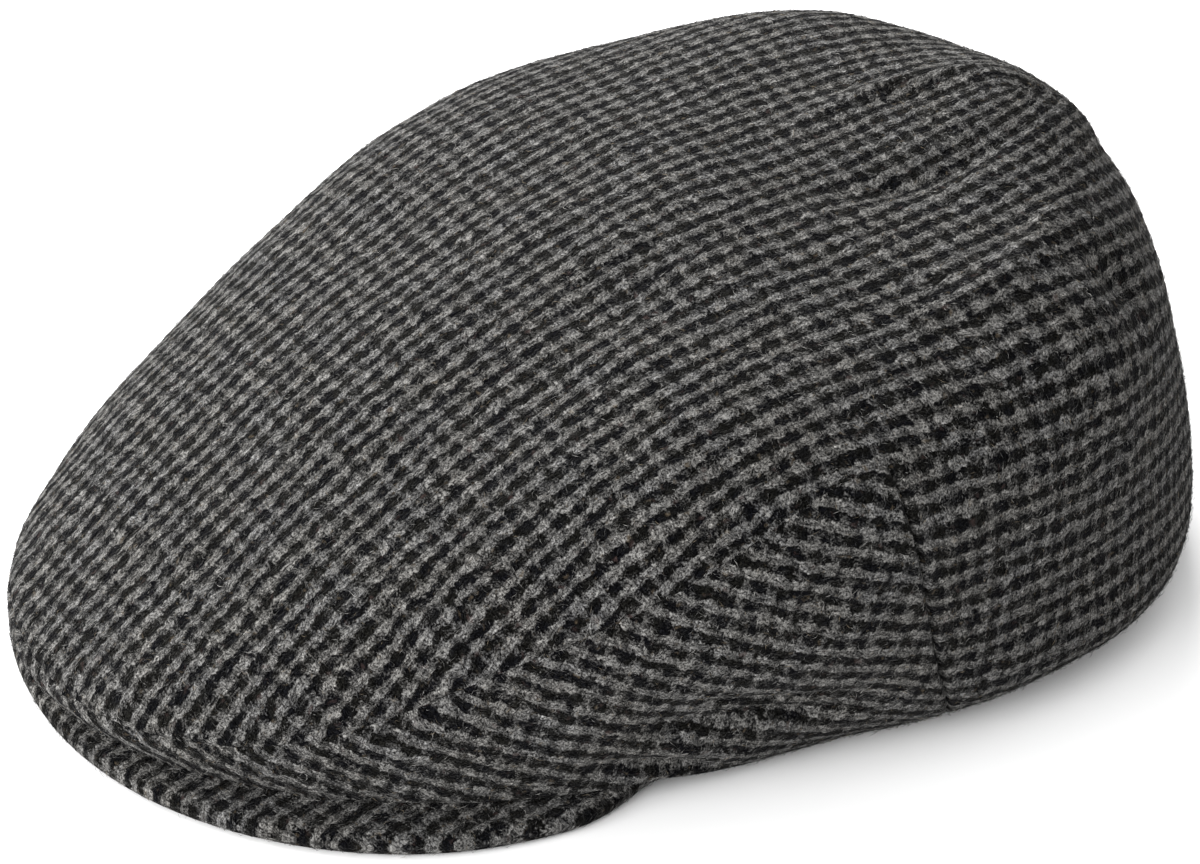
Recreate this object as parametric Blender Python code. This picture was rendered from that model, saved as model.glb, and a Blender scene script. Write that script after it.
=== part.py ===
"""Flat cap of checked wool cloth, lying on its rim and its peak.

The crown is one rounded skin, cut along its seams into a top panel and two side panels.
The peak is a covered visor that the front of the crown lies on.
Front is -Y, up is +Z, and the wearer's left is +X. Lengths are in metres.
"""

import math

import bmesh
import bpy
import numpy as np

# Crown, as worn: the plan is an ellipse with a long front half and a short back half
CROWN_HALF_WIDTH = 0.1015
FRONT_REACH = 0.1605
BACK_REACH = 0.1068
CROWN_HEIGHT = 0.0996
CLOTH = 0.002
HEM = 0.003
HEM_HEIGHT = 0.009

# Peak
PEAK_THICKNESS = 0.0053
PEAK_RISE = 0.0116
PEAK_END = math.radians(58)

# Clearances
SEAM_GAP = 0.0003
SEAT_GAP = 0.0003
END_GAP = math.radians(0.5)

# Seams: the side seam's ends on the crown, as angles from the front
SIDE_SEAM_TOP = math.radians(88)
SIDE_SEAM_FOOT = math.radians(102)
TEMPLE_RUN = math.radians(26)

# One row for each section of the crown, at an angle from the front. The reaches are shares
# of the plan's ellipse at that angle, and the heights are shares of the crown's height.
# A section runs through its own points: rim, low point, bulge, shoulder, top and apex,
# which are its levels 0 to 5.
SECTIONS = (
    # angle, rim reach, low reach and height, bulge reach and height,
    # shoulder reach and height, top reach and height
    (0, 0.975, 1.012, 0.150, 0.842, 0.375, 0.582, 0.655, 0.290, 0.863),
    (18, 0.985, 1.012, 0.195, 0.880, 0.400, 0.615, 0.662, 0.304, 0.870),
    (36, 0.968, 0.996, 0.208, 0.938, 0.436, 0.700, 0.696, 0.320, 0.888),
    (56, 0.905, 0.948, 0.195, 0.974, 0.442, 0.804, 0.750, 0.340, 0.915),
    (78, 0.790, 0.913, 0.165, 0.984, 0.431, 0.871, 0.782, 0.353, 0.930),
    (102, 0.784, 0.922, 0.142, 0.954, 0.412, 0.871, 0.812, 0.372, 0.942),
    (128, 0.838, 0.962, 0.127, 0.946, 0.402, 0.866, 0.868, 0.393, 0.960),
    (154, 0.945, 0.984, 0.115, 0.957, 0.398, 0.812, 0.890, 0.415, 0.979),
    (180, 0.985, 0.988, 0.135, 0.960, 0.388, 0.792, 0.930, 0.445, 1.005),
)
APEX_HEIGHT = 0.960

# The front seam between the top panel and a side panel, by its level in each section
FRONT_SEAM = (
    # angle, level
    (0, 1.00),
    (20, 0.86),
    (40, 1.72),
    (60, 2.38),
    (80, 2.88),
    (100, 2.92),
)

# One row for each section of the peak. The reaches are shares of the plan's ellipse, and
# the rise is a share of the peak's rise at its root. Angles are shares of the peak's end.
PEAK_SECTIONS = (
    # angle, edge reach, root reach, rise
    (0.00, 1.010, 0.630, 1.00),
    (0.26, 1.034, 0.645, 0.93),
    (0.52, 1.062, 0.675, 0.70),
    (0.74, 1.036, 0.710, 0.42),
    (0.88, 0.976, 0.740, 0.18),
    (0.95, 0.928, 0.755, 0.06),
    (1.00, 0.885, 0.768, 0.00),
)

# Dents and folds of the crown. Each is a soft furrow along a line on the skin, from one
# angle and level to another. Depth is a share of the crown's height and is outward where
# it is below zero. Width is a share of the crown's height. Side 1 is the wearer's left,
# -1 the right and 0 both.
FOLDS = (
    # side, angle from, level from, angle to, level to, depth, width
    (0, 54, 1.30, 92, 1.16, 0.030, 0.070),
    (0, 57, 1.12, 84, 1.04, 0.016, 0.026),
    (0, 60, 1.46, 88, 1.24, 0.014, 0.026),
    (0, 50, 0.60, 66, 0.30, 0.012, 0.026),
    (0, 46, 1.75, 92, 1.85, -0.008, 0.090),
    (1, 136, 4.45, 172, 3.60, 0.016, 0.055),
    (-1, 150, 4.40, 178, 3.40, -0.014, 0.050),
    (1, 104, 3.50, 150, 3.38, -0.012, 0.055),
    (1, 134, 3.20, 142, 2.75, 0.030, 0.085),
    (1, 92, 3.10, 108, 2.10, 0.012, 0.055),
)

# Shares and steps of the forms
LAST_LEVEL = 5
RISE_POWER = 1.5
HEM_LEVEL = 0.4
STILL_LEVEL = 0.25
FOLD_STEPS = 8
FOLD_TAPER = 0.7
FOLD_TIP = 0.02
SIDE_COLUMNS = 28
BACK_COLUMNS = 20
LOW_ROWS = 12
HIGH_ROWS = 14
PEAK_COLUMNS = 36
PEAK_EDGE_STEPS = 6
PEAK_DEPTH_STEPS = 5
NORMAL_STEP = 1e-3
GRID_ROUNDS = 6
SAME_PLACE = 6

MATERIALS = {
    # name: colour, roughness
    "tweed": ((0.075, 0.073, 0.072, 1.0), 0.95),
    "peak_tweed": ((0.066, 0.065, 0.066, 1.0), 0.95),
}


def clear_scene():
    """Remove what the file holds before the cap is modelled."""
    for item in list(bpy.data.objects):
        bpy.data.objects.remove(item, do_unlink=True)


def spline(knots, values, at):
    """Cubic spline through the rows of values, level at both ends, read at places in at."""
    knots = np.asarray(knots, float)
    values = np.asarray(values, float)
    count = len(knots)
    gap = np.diff(knots)
    slope = np.diff(values, axis=0) / gap.reshape((-1,) + (1,) * (values.ndim - 1))
    system = np.zeros((count, count))
    target = np.zeros_like(values)
    for row in range(1, count - 1):
        system[row, row - 1] = gap[row - 1]
        system[row, row] = 2 * (gap[row - 1] + gap[row])
        system[row, row + 1] = gap[row]
        target[row] = 6 * (slope[row] - slope[row - 1])
    system[0, :2] = 2 * gap[0], gap[0]
    target[0] = 6 * slope[0]
    system[-1, -2:] = gap[-1], 2 * gap[-1]
    target[-1] = -6 * slope[-1]
    bend = np.linalg.solve(system, target.reshape(count, -1)).reshape(values.shape)
    at = np.clip(at, knots[0], knots[-1])
    cell = np.clip(np.searchsorted(knots, at, side="right") - 1, 0, count - 2)
    shape = (-1,) + (1,) * (values.ndim - 1)
    width = gap[cell].reshape(shape)
    after = (at - knots[cell]).reshape(shape) / width
    before = 1 - after
    return (before * values[cell] + after * values[cell + 1]
            + ((before ** 3 - before) * bend[cell]
               + (after ** 3 - after) * bend[cell + 1]) * width ** 2 / 6)


def plan_reach(angle):
    """Reach of the plan's ellipse from the crown's middle, at angles from the front."""
    ahead = np.where(np.cos(angle) > 0, FRONT_REACH, BACK_REACH)
    return 1 / np.sqrt((np.sin(angle) / CROWN_HALF_WIDTH) ** 2 + (np.cos(angle) / ahead) ** 2)


def peak_section(angle):
    """Edge reach, root reach and rise of the peak, in metres, at angles from the front."""
    table = np.array(PEAK_SECTIONS)
    row = spline(table[:, 0], table[:, 1:], np.abs(angle) / PEAK_END)
    reach = plan_reach(angle)
    return row[:, 0] * reach, row[:, 1] * reach, np.maximum(row[:, 2], 0) * PEAK_RISE


def peak_under(angle, reach):
    """Height of the peak's underside at a reach from the crown's middle."""
    edge, root, rise = peak_section(angle)
    inward = np.clip((edge - reach) / (edge - root), 0, 1)
    return rise * inward ** RISE_POWER


def rim_height(angle, reach):
    """Height of the crown's rim: on the peak in front, and down on the floor behind it."""
    away = np.clip((np.abs(angle) - PEAK_END - END_GAP) / TEMPLE_RUN, 0, 1)
    seated = (1 - away) ** 2
    on_peak = peak_under(np.minimum(np.abs(angle), PEAK_END), reach)
    return seated * (on_peak + PEAK_THICKNESS + SEAT_GAP)


def base_skin(angle, level):
    """Points of the crown's plain outer skin at angles from the front and section levels."""
    table = np.array(SECTIONS)
    turn = np.abs(angle)
    row = spline(np.radians(table[:, 0]), table[:, 1:], turn)
    reach = plan_reach(turn)
    points = np.zeros((len(turn), LAST_LEVEL + 1, 3))
    reaches = row[:, [0, 1, 3, 5, 7]] * reach[:, None]
    points[:, :LAST_LEVEL, 0] = reaches * np.sin(turn)[:, None]
    points[:, :LAST_LEVEL, 1] = -reaches * np.cos(turn)[:, None]
    points[:, 0, 2] = rim_height(turn, reaches[:, 0])
    points[:, 1:LAST_LEVEL, 2] = row[:, [2, 4, 6, 8]] * CROWN_HEIGHT
    points[:, LAST_LEVEL] = 0, 0, APEX_HEIGHT * CROWN_HEIGHT
    # The section runs level into the apex, so its last slope is the flat run to it
    last = (points[:, LAST_LEVEL] - points[:, LAST_LEVEL - 1]) * np.array([1, 1, 0])
    place = section_spline(points, last, level)
    place[:, 0] *= np.where(angle < 0, -1, 1)
    return place


def section_spline(points, last_slope, level):
    """Cubic spline through each section's own points, read at one level in each."""
    count = points.shape[1]
    system = np.zeros((count, count))
    target = np.zeros((count,) + points[:, 0].shape)
    step = np.diff(points, axis=1)
    for row in range(1, count - 1):
        system[row, row - 1:row + 2] = 1, 4, 1
        target[row] = 6 * (step[:, row] - step[:, row - 1])
    system[0, 0] = 1
    system[-1, -2:] = 1, 2
    target[-1] = 6 * (last_slope - step[:, -1])
    bend = np.linalg.solve(system, target.reshape(count, -1)).reshape(target.shape)
    cell = np.clip(level.astype(int), 0, count - 2)
    after = (level - cell)[:, None]
    before = 1 - after
    pick = np.arange(len(level))
    return (before * points[pick, cell] + after * points[pick, cell + 1]
            + ((before ** 3 - before) * bend[cell, pick]
               + (after ** 3 - after) * bend[cell + 1, pick]) / 6)


def skin_normal(surface, angle, level):
    """Outward unit normals of a surface of angle and level."""
    level = np.clip(level, NORMAL_STEP, LAST_LEVEL - NORMAL_STEP)
    along = surface(angle + NORMAL_STEP, level) - surface(angle - NORMAL_STEP, level)
    upward = surface(angle, level + NORMAL_STEP) - surface(angle, level - NORMAL_STEP)
    normal = np.cross(along, upward)
    return normal / np.linalg.norm(normal, axis=1)[:, None]


def fold_depth(angle, level):
    """Inward depth of all folds at places on the skin."""
    place = base_skin(angle, level)
    depth = np.zeros(len(angle))
    for side, angle_from, level_from, angle_to, level_to, deep, wide in FOLDS:
        for hand in (1, -1):
            if side == -hand:
                continue
            turns = hand * np.radians(np.linspace(angle_from, angle_to, FOLD_STEPS + 1))
            levels = np.linspace(level_from, level_to, FOLD_STEPS + 1)
            line = base_skin(turns, levels)
            start, run = line[:-1], np.diff(line, axis=0)
            share = ((place[:, None] - start) * run).sum(2) / (run ** 2).sum(1)
            share = np.clip(share, 0, 1)
            away = np.linalg.norm(place[:, None] - start - share[..., None] * run, axis=2)
            nearest = away.argmin(1)
            pick = np.arange(len(angle))
            along = (nearest + share[pick, nearest]) / len(run)
            along = np.clip(along, FOLD_TIP, 1 - FOLD_TIP)
            taper = np.sin(math.pi * along) ** FOLD_TAPER
            reach = away[pick, nearest] / (wide * CROWN_HEIGHT)
            depth += deep * CROWN_HEIGHT * taper * np.exp(-reach ** 2)
    return depth


def skin(angle, level):
    """Points of the crown's outer skin with its folds; the rim itself stays in place."""
    hold = np.clip(level / STILL_LEVEL, 0, 1)
    hold = hold * hold * (3 - 2 * hold)
    depth = fold_depth(angle, level) * hold
    return base_skin(angle, level) - depth[:, None] * skin_normal(base_skin, angle, level)


def lining(angle, level):
    """Points of the cloth's inner face: level with the rim below, along the normal above."""
    outer = skin(angle, level)
    normal = skin_normal(skin, angle, level)
    above = np.clip(outer[:, 2] / HEM_HEIGHT, 0, 1)
    away = np.clip(level / HEM_LEVEL, 0, 1)
    normal[:, 2] *= away
    normal /= np.linalg.norm(normal, axis=1)[:, None]
    wall = HEM + (CLOTH - HEM) * above * away
    inner = outer - wall[:, None] * normal
    # On the peak the hem's underside slopes with what it lies on
    slope = (rim_height(angle, np.hypot(inner[:, 0], inner[:, 1]))
             - rim_height(angle, np.hypot(outer[:, 0], outer[:, 1])))
    inner[:, 2] += slope * (1 - away)
    return inner


def side_seam_angle(level):
    """Angle of the side seam at a level: it leans back from its top to its foot."""
    table = np.array(FRONT_SEAM)
    top = spline(np.radians(table[:, 0]), table[:, 1], np.array([SIDE_SEAM_TOP]))[0]
    share = np.clip(level / top, 0, 1)
    return SIDE_SEAM_FOOT + (SIDE_SEAM_TOP - SIDE_SEAM_FOOT) * share


def front_seam_level(angle):
    """Level of the front seam at an angle; it stays level behind the side seam."""
    table = np.array(FRONT_SEAM)
    turn = np.minimum(np.abs(angle), SIDE_SEAM_TOP)
    return spline(np.radians(table[:, 0]), table[:, 1], turn)


def inset_levels(angle, level, upward):
    """Shift levels at the seam by half the seam's gap along the skin."""
    step = skin(angle, level + NORMAL_STEP) - skin(angle, level - NORMAL_STEP)
    rate = np.linalg.norm(step, axis=1) / (2 * NORMAL_STEP)
    return level + upward * SEAM_GAP / 2 / rate


def inset_angles(angle, level, forward):
    """Shift angles at the seam by half the seam's gap along the skin."""
    step = skin(angle + NORMAL_STEP, level) - skin(angle - NORMAL_STEP, level)
    rate = np.linalg.norm(step, axis=1) / (2 * NORMAL_STEP)
    return angle + forward * SEAM_GAP / 2 / rate


def side_shares():
    """Shares of the way from the front to the side seam, with one at the peak's end."""
    mark = (PEAK_END + END_GAP) / SIDE_SEAM_FOOT
    before = round(SIDE_COLUMNS * mark)
    return np.concatenate((np.linspace(0, mark, before + 1),
                           np.linspace(mark, 1, SIDE_COLUMNS - before + 1)[1:]))


def band_grid(angle_from, angle_to, share, rows, low, high):
    """Angles and levels of a band of the skin between two edges and two levels.

    Args:
        angle_from, angle_to: functions of level that give the band's ends.
        share: where the columns stand, as shares of the way from end to end.
        rows: the number of faces upward.
        low, high: functions of angle that give the band's lower and upper level.
    """
    rise = np.linspace(0, 1, rows + 1)
    angles = np.zeros((len(share), rows + 1))
    levels = np.zeros((len(share), rows + 1))
    for row in range(rows + 1):
        guess = np.zeros(len(share))
        for _ in range(GRID_ROUNDS):
            begin, end = angle_from(guess), angle_to(guess)
            turn = begin + (end - begin) * share
            guess = low(turn) + (high(turn) - low(turn)) * rise[row]
        angles[:, row] = turn
        levels[:, row] = guess
    return angles, levels


def new_object(name, bm, material):
    """Link a bmesh as a named object with its material, shaded smooth."""
    bmesh.ops.recalc_face_normals(bm, faces=bm.faces)
    mesh = bpy.data.meshes.new(name)
    bm.to_mesh(mesh)
    bm.free()
    mesh.shade_smooth()
    mesh.materials.append(material)
    item = bpy.data.objects.new(name, mesh)
    bpy.context.collection.objects.link(item)
    return item


def new_material(name):
    """Principled material of the named cloth."""
    colour, roughness = MATERIALS[name]
    material = bpy.data.materials.new(name)
    material.use_nodes = True
    shader = material.node_tree.nodes["Principled BSDF"]
    shader.inputs["Base Color"].default_value = colour
    shader.inputs["Roughness"].default_value = roughness
    shader.inputs["Metallic"].default_value = 0.0
    return material


def add_sheet(bm, angles, levels, known):
    """Add one grid of skin and its inner face to bm.

    Points that a neighbouring grid already made are taken from known, so that the grids
    of one panel are joined.
    """
    shape = angles.shape
    turn, level = angles.ravel(), levels.ravel()
    for surface, side in ((skin, "outer"), (lining, "inner")):
        points = surface(turn, level)
        verts = []
        for place, point in zip(zip(turn, level), points):
            spot = tuple(round(value, SAME_PLACE) for value in place)
            key = (side, "apex") if spot[1] == LAST_LEVEL else (side,) + spot
            if key not in known:
                known[key] = bm.verts.new(point)
            verts.append(known[key])
        for column in range(shape[0] - 1):
            for row in range(shape[1] - 1):
                corner = column * shape[1] + row
                ring = [verts[corner], verts[corner + shape[1]],
                        verts[corner + shape[1] + 1], verts[corner + 1]]
                ring = list(dict.fromkeys(ring))
                bm.faces.new(ring if side == "outer" else ring[::-1])


def close_edges(bm, known):
    """Join the outer and inner faces of a panel all along its edge."""
    partner = {}
    for key, vert in known.items():
        if key[0] == "outer":
            partner[vert] = known[("inner",) + key[1:]]
    outer_edges = [edge for edge in bm.edges
                   if edge.is_boundary and edge.verts[0] in partner]
    for edge in outer_edges:
        first, second = edge.verts
        if edge.link_loops[0].vert is not first:
            first, second = second, first
        bm.faces.new((second, first, partner[first], partner[second]))


def build_side_panel(name, hand, material):
    """Side panel: a band round the front that widens to the side seam."""
    angles, levels = band_grid(
        lambda level: np.zeros_like(level), side_seam_angle, side_shares(), LOW_ROWS,
        lambda angle: np.zeros_like(angle), front_seam_level)
    levels[:, -1] = inset_levels(angles[:, -1], levels[:, -1], -1)
    angles[0] = inset_angles(angles[0], levels[0], 1)
    angles[-1] = inset_angles(angles[-1], levels[-1], -1)
    bm = bmesh.new()
    known = {}
    add_sheet(bm, hand * angles, levels, known)
    close_edges(bm, known)
    return new_object(name, bm, material)


def build_crown_top(material):
    """Top panel: from the front seam over the crown and down the back to the rim."""
    def always(value):
        """An edge or a level that is the same everywhere."""
        return lambda place: np.full_like(place, value)

    seam_level = front_seam_level(np.array([SIDE_SEAM_TOP]))[0]
    back_shares = np.linspace(0, 1, BACK_COLUMNS + 1)
    high = band_grid(always(0), side_seam_angle, side_shares(), HIGH_ROWS,
                     front_seam_level, always(LAST_LEVEL))
    back = band_grid(side_seam_angle, always(math.pi), back_shares, HIGH_ROWS,
                     always(seam_level), always(LAST_LEVEL))
    tail = band_grid(side_seam_angle, always(math.pi), back_shares, LOW_ROWS,
                     always(0), always(seam_level))
    high[1][:, 0] = inset_levels(high[0][:, 0], high[1][:, 0], 1)
    tail[0][0] = inset_angles(tail[0][0], tail[1][0], 1)
    # The three grids meet at the side seam's top, on both seams' inset lines
    meeting = tail[0][0, -1], high[1][-1, 0]
    for grid, corner in ((high, (-1, 0)), (back, (0, 0)), (tail, (0, -1))):
        grid[0][corner], grid[1][corner] = meeting
    bm = bmesh.new()
    known = {}
    for angles, levels in (high, back, tail):
        for hand in (1, -1):
            turned = hand * angles
            turned[np.isclose(np.abs(turned), math.pi)] = math.pi
            turned[np.isclose(turned, 0)] = 0.0
            add_sheet(bm, turned, levels, known)
    close_edges(bm, known)
    return new_object("crown_top", bm, material)


def build_peak(material):
    """Peak: a thick crescent with a round outer edge, rising from its edge to its root."""
    angles = np.linspace(-PEAK_END, PEAK_END, PEAK_COLUMNS + 1)
    edge, root, _ = peak_section(angles)
    radius = PEAK_THICKNESS / 2
    bm = bmesh.new()
    rings = []
    for turn, outside, inside in zip(angles, edge, root):
        bend = np.linspace(math.pi / 2, -math.pi / 2, PEAK_EDGE_STEPS + 1)
        reach = list(outside - radius + radius * np.cos(bend))
        lift = list(radius + radius * np.sin(bend))
        inward = np.linspace(0, 1, PEAK_DEPTH_STEPS + 1)[1:]
        below = outside - radius + (inside - outside + radius) * inward
        reach = list(below[::-1]) + reach + list(below)
        lift = [PEAK_THICKNESS] * PEAK_DEPTH_STEPS + lift + [0.0] * PEAK_DEPTH_STEPS
        reach, lift = np.array(reach), np.array(lift)
        height = peak_under(np.full(len(reach), turn), reach) + lift
        rings.append([bm.verts.new((r * math.sin(turn), -r * math.cos(turn), h))
                      for r, h in zip(reach, height)])
    for first, second in zip(rings, rings[1:]):
        for one in range(len(first)):
            two = (one + 1) % len(first)
            bm.faces.new((first[one], first[two], second[two], second[one]))
    bm.faces.new(rings[0][::-1])
    bm.faces.new(rings[-1])
    bmesh.ops.triangulate(bm, faces=[face for face in bm.faces if len(face.verts) > 4])
    return new_object("peak", bm, material)


def centre_on_origin(items):
    """Slide the cap along Y until its box is centred over the origin."""
    ends = [corner.co.y for item in items for corner in item.data.vertices]
    for item in items:
        item.location.y = -(min(ends) + max(ends)) / 2


def main():
    """Model the cap's four pieces and centre them over the origin."""
    clear_scene()
    tweed = new_material("tweed")
    items = [
        build_crown_top(tweed),
        build_side_panel("side_panel_left", 1, tweed),
        build_side_panel("side_panel_right", -1, tweed),
        build_peak(new_material("peak_tweed")),
    ]
    centre_on_origin(items)


main()
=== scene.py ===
"""Flat cap of checked wool tweed, dressed for its picture.

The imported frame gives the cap's place and size. Each cloth piece is made again here from the
same curves as the frame's solids, with a finer mesh, rolled seam edges, small creases, a
woven check that follows its own flat cut, and loose fibres.
Front is -Y, up is +Z, and the wearer's left is +X. Lengths are in metres.
"""

from __future__ import annotations

import logging
import math
from dataclasses import dataclass, field
from enum import Enum
from typing import Callable, Union

import bpy
import numpy as np
from mathutils import Matrix, Vector

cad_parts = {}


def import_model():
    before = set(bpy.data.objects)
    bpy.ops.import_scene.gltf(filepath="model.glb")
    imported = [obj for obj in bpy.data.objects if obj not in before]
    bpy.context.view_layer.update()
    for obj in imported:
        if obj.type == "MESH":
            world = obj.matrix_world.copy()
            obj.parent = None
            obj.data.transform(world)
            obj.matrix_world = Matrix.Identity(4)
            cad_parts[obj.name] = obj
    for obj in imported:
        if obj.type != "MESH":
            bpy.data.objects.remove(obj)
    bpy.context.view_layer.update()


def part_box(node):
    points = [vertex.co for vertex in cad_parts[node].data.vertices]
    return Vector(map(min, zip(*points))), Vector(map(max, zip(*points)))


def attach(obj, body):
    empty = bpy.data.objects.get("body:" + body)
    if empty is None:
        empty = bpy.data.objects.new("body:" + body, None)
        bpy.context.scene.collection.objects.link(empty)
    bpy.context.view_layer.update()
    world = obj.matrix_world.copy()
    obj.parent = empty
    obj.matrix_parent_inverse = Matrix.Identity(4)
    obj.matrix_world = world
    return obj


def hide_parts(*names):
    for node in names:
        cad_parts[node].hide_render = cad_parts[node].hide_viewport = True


LOG = logging.getLogger("flat_cap")
Array = np.ndarray
Edge = Callable[[Array], Array]
Value = Union[bpy.types.NodeSocket, float, tuple]

# The frame's own curves, repeated from the part. One row for each section of the crown, at
# an angle from the front: reaches are shares of the plan's ellipse, and heights are shares
# of the crown's height.
SECTIONS = (
    # angle, rim reach, low reach and height, bulge reach and height,
    # shoulder reach and height, top reach and height
    (0, 0.975, 1.012, 0.150, 0.842, 0.375, 0.582, 0.655, 0.290, 0.863),
    (18, 0.985, 1.012, 0.195, 0.880, 0.400, 0.615, 0.662, 0.304, 0.870),
    (36, 0.968, 0.996, 0.208, 0.938, 0.436, 0.700, 0.696, 0.320, 0.888),
    (56, 0.905, 0.948, 0.195, 0.974, 0.442, 0.804, 0.750, 0.340, 0.915),
    (78, 0.790, 0.913, 0.165, 0.984, 0.431, 0.871, 0.782, 0.353, 0.930),
    (102, 0.784, 0.922, 0.142, 0.954, 0.412, 0.871, 0.812, 0.372, 0.942),
    (128, 0.838, 0.962, 0.127, 0.946, 0.402, 0.866, 0.868, 0.393, 0.960),
    (154, 0.945, 0.984, 0.115, 0.957, 0.398, 0.812, 0.890, 0.415, 0.979),
    (180, 0.985, 0.988, 0.135, 0.960, 0.388, 0.792, 0.930, 0.445, 1.005),
)

# The front seam between the top panel and a side panel, by its level in each section
FRONT_SEAM = (
    # angle, level
    (0, 1.00),
    (20, 0.86),
    (40, 1.72),
    (60, 2.38),
    (80, 2.88),
    (100, 2.92),
)

# One row for each section of the peak: reaches are shares of the plan's ellipse, the rise is
# a share of the peak's rise at its root, and angles are shares of the peak's end
PEAK_SECTIONS = (
    # angle, edge reach, root reach, rise
    (0.00, 1.010, 0.630, 1.00),
    (0.26, 1.034, 0.645, 0.93),
    (0.52, 1.062, 0.675, 0.70),
    (0.74, 1.036, 0.710, 0.42),
    (0.88, 0.976, 0.740, 0.18),
    (0.95, 0.928, 0.755, 0.06),
    (1.00, 0.885, 0.768, 0.00),
)

# Main dents and folds, as in the frame. Depth and width are shares of the crown's height,
# and depth is outward below zero. Side 1 is the wearer's left, -1 the right and 0 both.
FOLDS = (
    # side, angle from, level from, angle to, level to, depth, width
    (0, 54, 1.30, 92, 1.16, 0.030, 0.070),
    (0, 57, 1.12, 84, 1.04, 0.016, 0.026),
    (0, 60, 1.46, 88, 1.24, 0.014, 0.026),
    (0, 50, 0.60, 66, 0.30, 0.012, 0.026),
    (0, 46, 1.75, 92, 1.85, -0.008, 0.090),
    (1, 136, 4.45, 172, 3.60, 0.016, 0.055),
    (-1, 150, 4.40, 178, 3.40, -0.014, 0.050),
    (1, 104, 3.50, 150, 3.38, -0.012, 0.055),
    (1, 134, 3.20, 142, 2.75, 0.030, 0.085),
    (1, 92, 3.10, 108, 2.10, 0.012, 0.055),
)

# Small creases that only the dressed cloth has
CREASES = (
    # side, angle from, level from, angle to, level to, depth, width
    (0, 56, 1.22, 84, 1.05, 0.008, 0.022),
    (0, 54, 1.40, 86, 1.22, -0.007, 0.022),
    (0, 60, 1.45, 87, 1.22, 0.006, 0.018),
    (0, 52, 0.72, 68, 0.10, 0.012, 0.018),
    (0, 58, 0.85, 76, 0.30, -0.007, 0.022),
    (0, 84, 1.90, 97, 1.10, -0.006, 0.030),
    (-1, 148, 4.42, 184, 3.08, -0.012, 0.032),
    (1, 158, 3.08, 182, 2.80, 0.012, 0.050),
    (1, 138, 4.42, 170, 3.48, 0.010, 0.026),
    (1, 96, 3.50, 150, 3.42, -0.007, 0.026),
    (1, 136, 3.24, 144, 2.68, 0.010, 0.040),
    (1, 122, 3.05, 130, 2.00, -0.010, 0.040),
)

# How the woven rows waver: reach, wave length and direction of each wave
WAVERS = (
    (0.00035, 0.031, 0.4),
    (0.00030, 0.023, 1.9),
    (0.00022, 0.015, 2.7),
    (0.00018, 0.011, 1.2),
)

# How far on each wave starts, and which way it pushes, as multiples of its direction
WAVE_START = 7
WAVE_PUSH = 3

# How dark the weave is where only the dark yarns of one direction are, over and under
ROW_DARKS = (0.98, 0.64)
COLUMN_DARKS = (0.48, 0.09)

# Edges closer than this are sewn, and angles and levels closer than the second are the same
COLLAPSE = 1e-5
TINY = 1e-9


class Hand(Enum):
    """Which side of the cap a panel is on, as the sign of X."""

    LEFT = 1
    RIGHT = -1


def ease(share: Array) -> Array:
    """Smooth step of a share that is first held between 0 and 1."""
    share = np.clip(share, 0, 1)
    return share * share * (3 - 2 * share)


def always(value: float) -> Edge:
    """Edge or level of a band that is the same everywhere."""
    return lambda place: np.full_like(place, value)


def crowded(count: int, start: float, finish: float, run: float = 0.16) -> Array:
    """Steps from 0 to 1 that are closer together near the ends.

    Args:
        count: the number of steps.
        start: how close the first steps are, as a share of an even step.
        finish: how close the last steps are, in the same way.
        run: the share at each end where the steps grow.

    Returns:
        The places of the steps, one more than their count.
    """
    middle = (np.arange(count) + 0.5) / count
    pace = np.minimum(1.0, start + (1 - start) * middle / run)
    pace = np.minimum(pace, finish + (1 - finish) * (1 - middle) / run)
    return np.concatenate(([0.0], np.cumsum(pace))) / pace.sum()


def cubic(knots: Array, values: Array, at: Array) -> Array:
    """Cubic spline through rows of values, level at both ends.

    Args:
        knots: where the rows stand.
        values: one row for each knot.
        at: the places that are read.

    Returns:
        One row for each place.
    """
    knots = np.asarray(knots, float)
    values = np.asarray(values, float)
    count = len(knots)
    gap = np.diff(knots)
    slope = np.diff(values, axis=0) / gap.reshape((-1,) + (1,) * (values.ndim - 1))
    system = np.zeros((count, count))
    target = np.zeros_like(values)
    for row in range(1, count - 1):
        system[row, row - 1:row + 2] = gap[row - 1], 2 * (gap[row - 1] + gap[row]), gap[row]
        target[row] = 6 * (slope[row] - slope[row - 1])
    system[0, :2] = 2 * gap[0], gap[0]
    target[0] = 6 * slope[0]
    system[-1, -2:] = gap[-1], 2 * gap[-1]
    target[-1] = -6 * slope[-1]
    bend = np.linalg.solve(system, target.reshape(count, -1)).reshape(values.shape)
    at = np.clip(at, knots[0], knots[-1])
    cell = np.clip(np.searchsorted(knots, at, side="right") - 1, 0, count - 2)
    shape = (-1,) + (1,) * (values.ndim - 1)
    width = gap[cell].reshape(shape)
    after = (at - knots[cell]).reshape(shape) / width
    before = 1 - after
    return (before * values[cell] + after * values[cell + 1]
            + ((before ** 3 - before) * bend[cell]
               + (after ** 3 - after) * bend[cell + 1]) * width ** 2 / 6)


def line_distance(points: Array, line: Array, batch: int = 4000) -> Array:
    """Distance of each point from a line of short straight runs.

    Args:
        points: the points, one row each.
        line: the line's own points in order.
        batch: how many points are taken at once.

    Returns:
        One distance for each point.
    """
    start, run = line[:-1], np.diff(line, axis=0)
    length = np.maximum((run ** 2).sum(1), TINY ** 2)
    nearest = np.full(len(points), np.inf)
    for first in range(0, len(points), batch):
        part = points[first:first + batch, None] - start
        share = np.clip((part * run).sum(2) / length, 0, 1)
        away = part - share[..., None] * run
        nearest[first:first + batch] = np.sqrt((away ** 2).sum(2).min(1))
    return nearest


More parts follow.
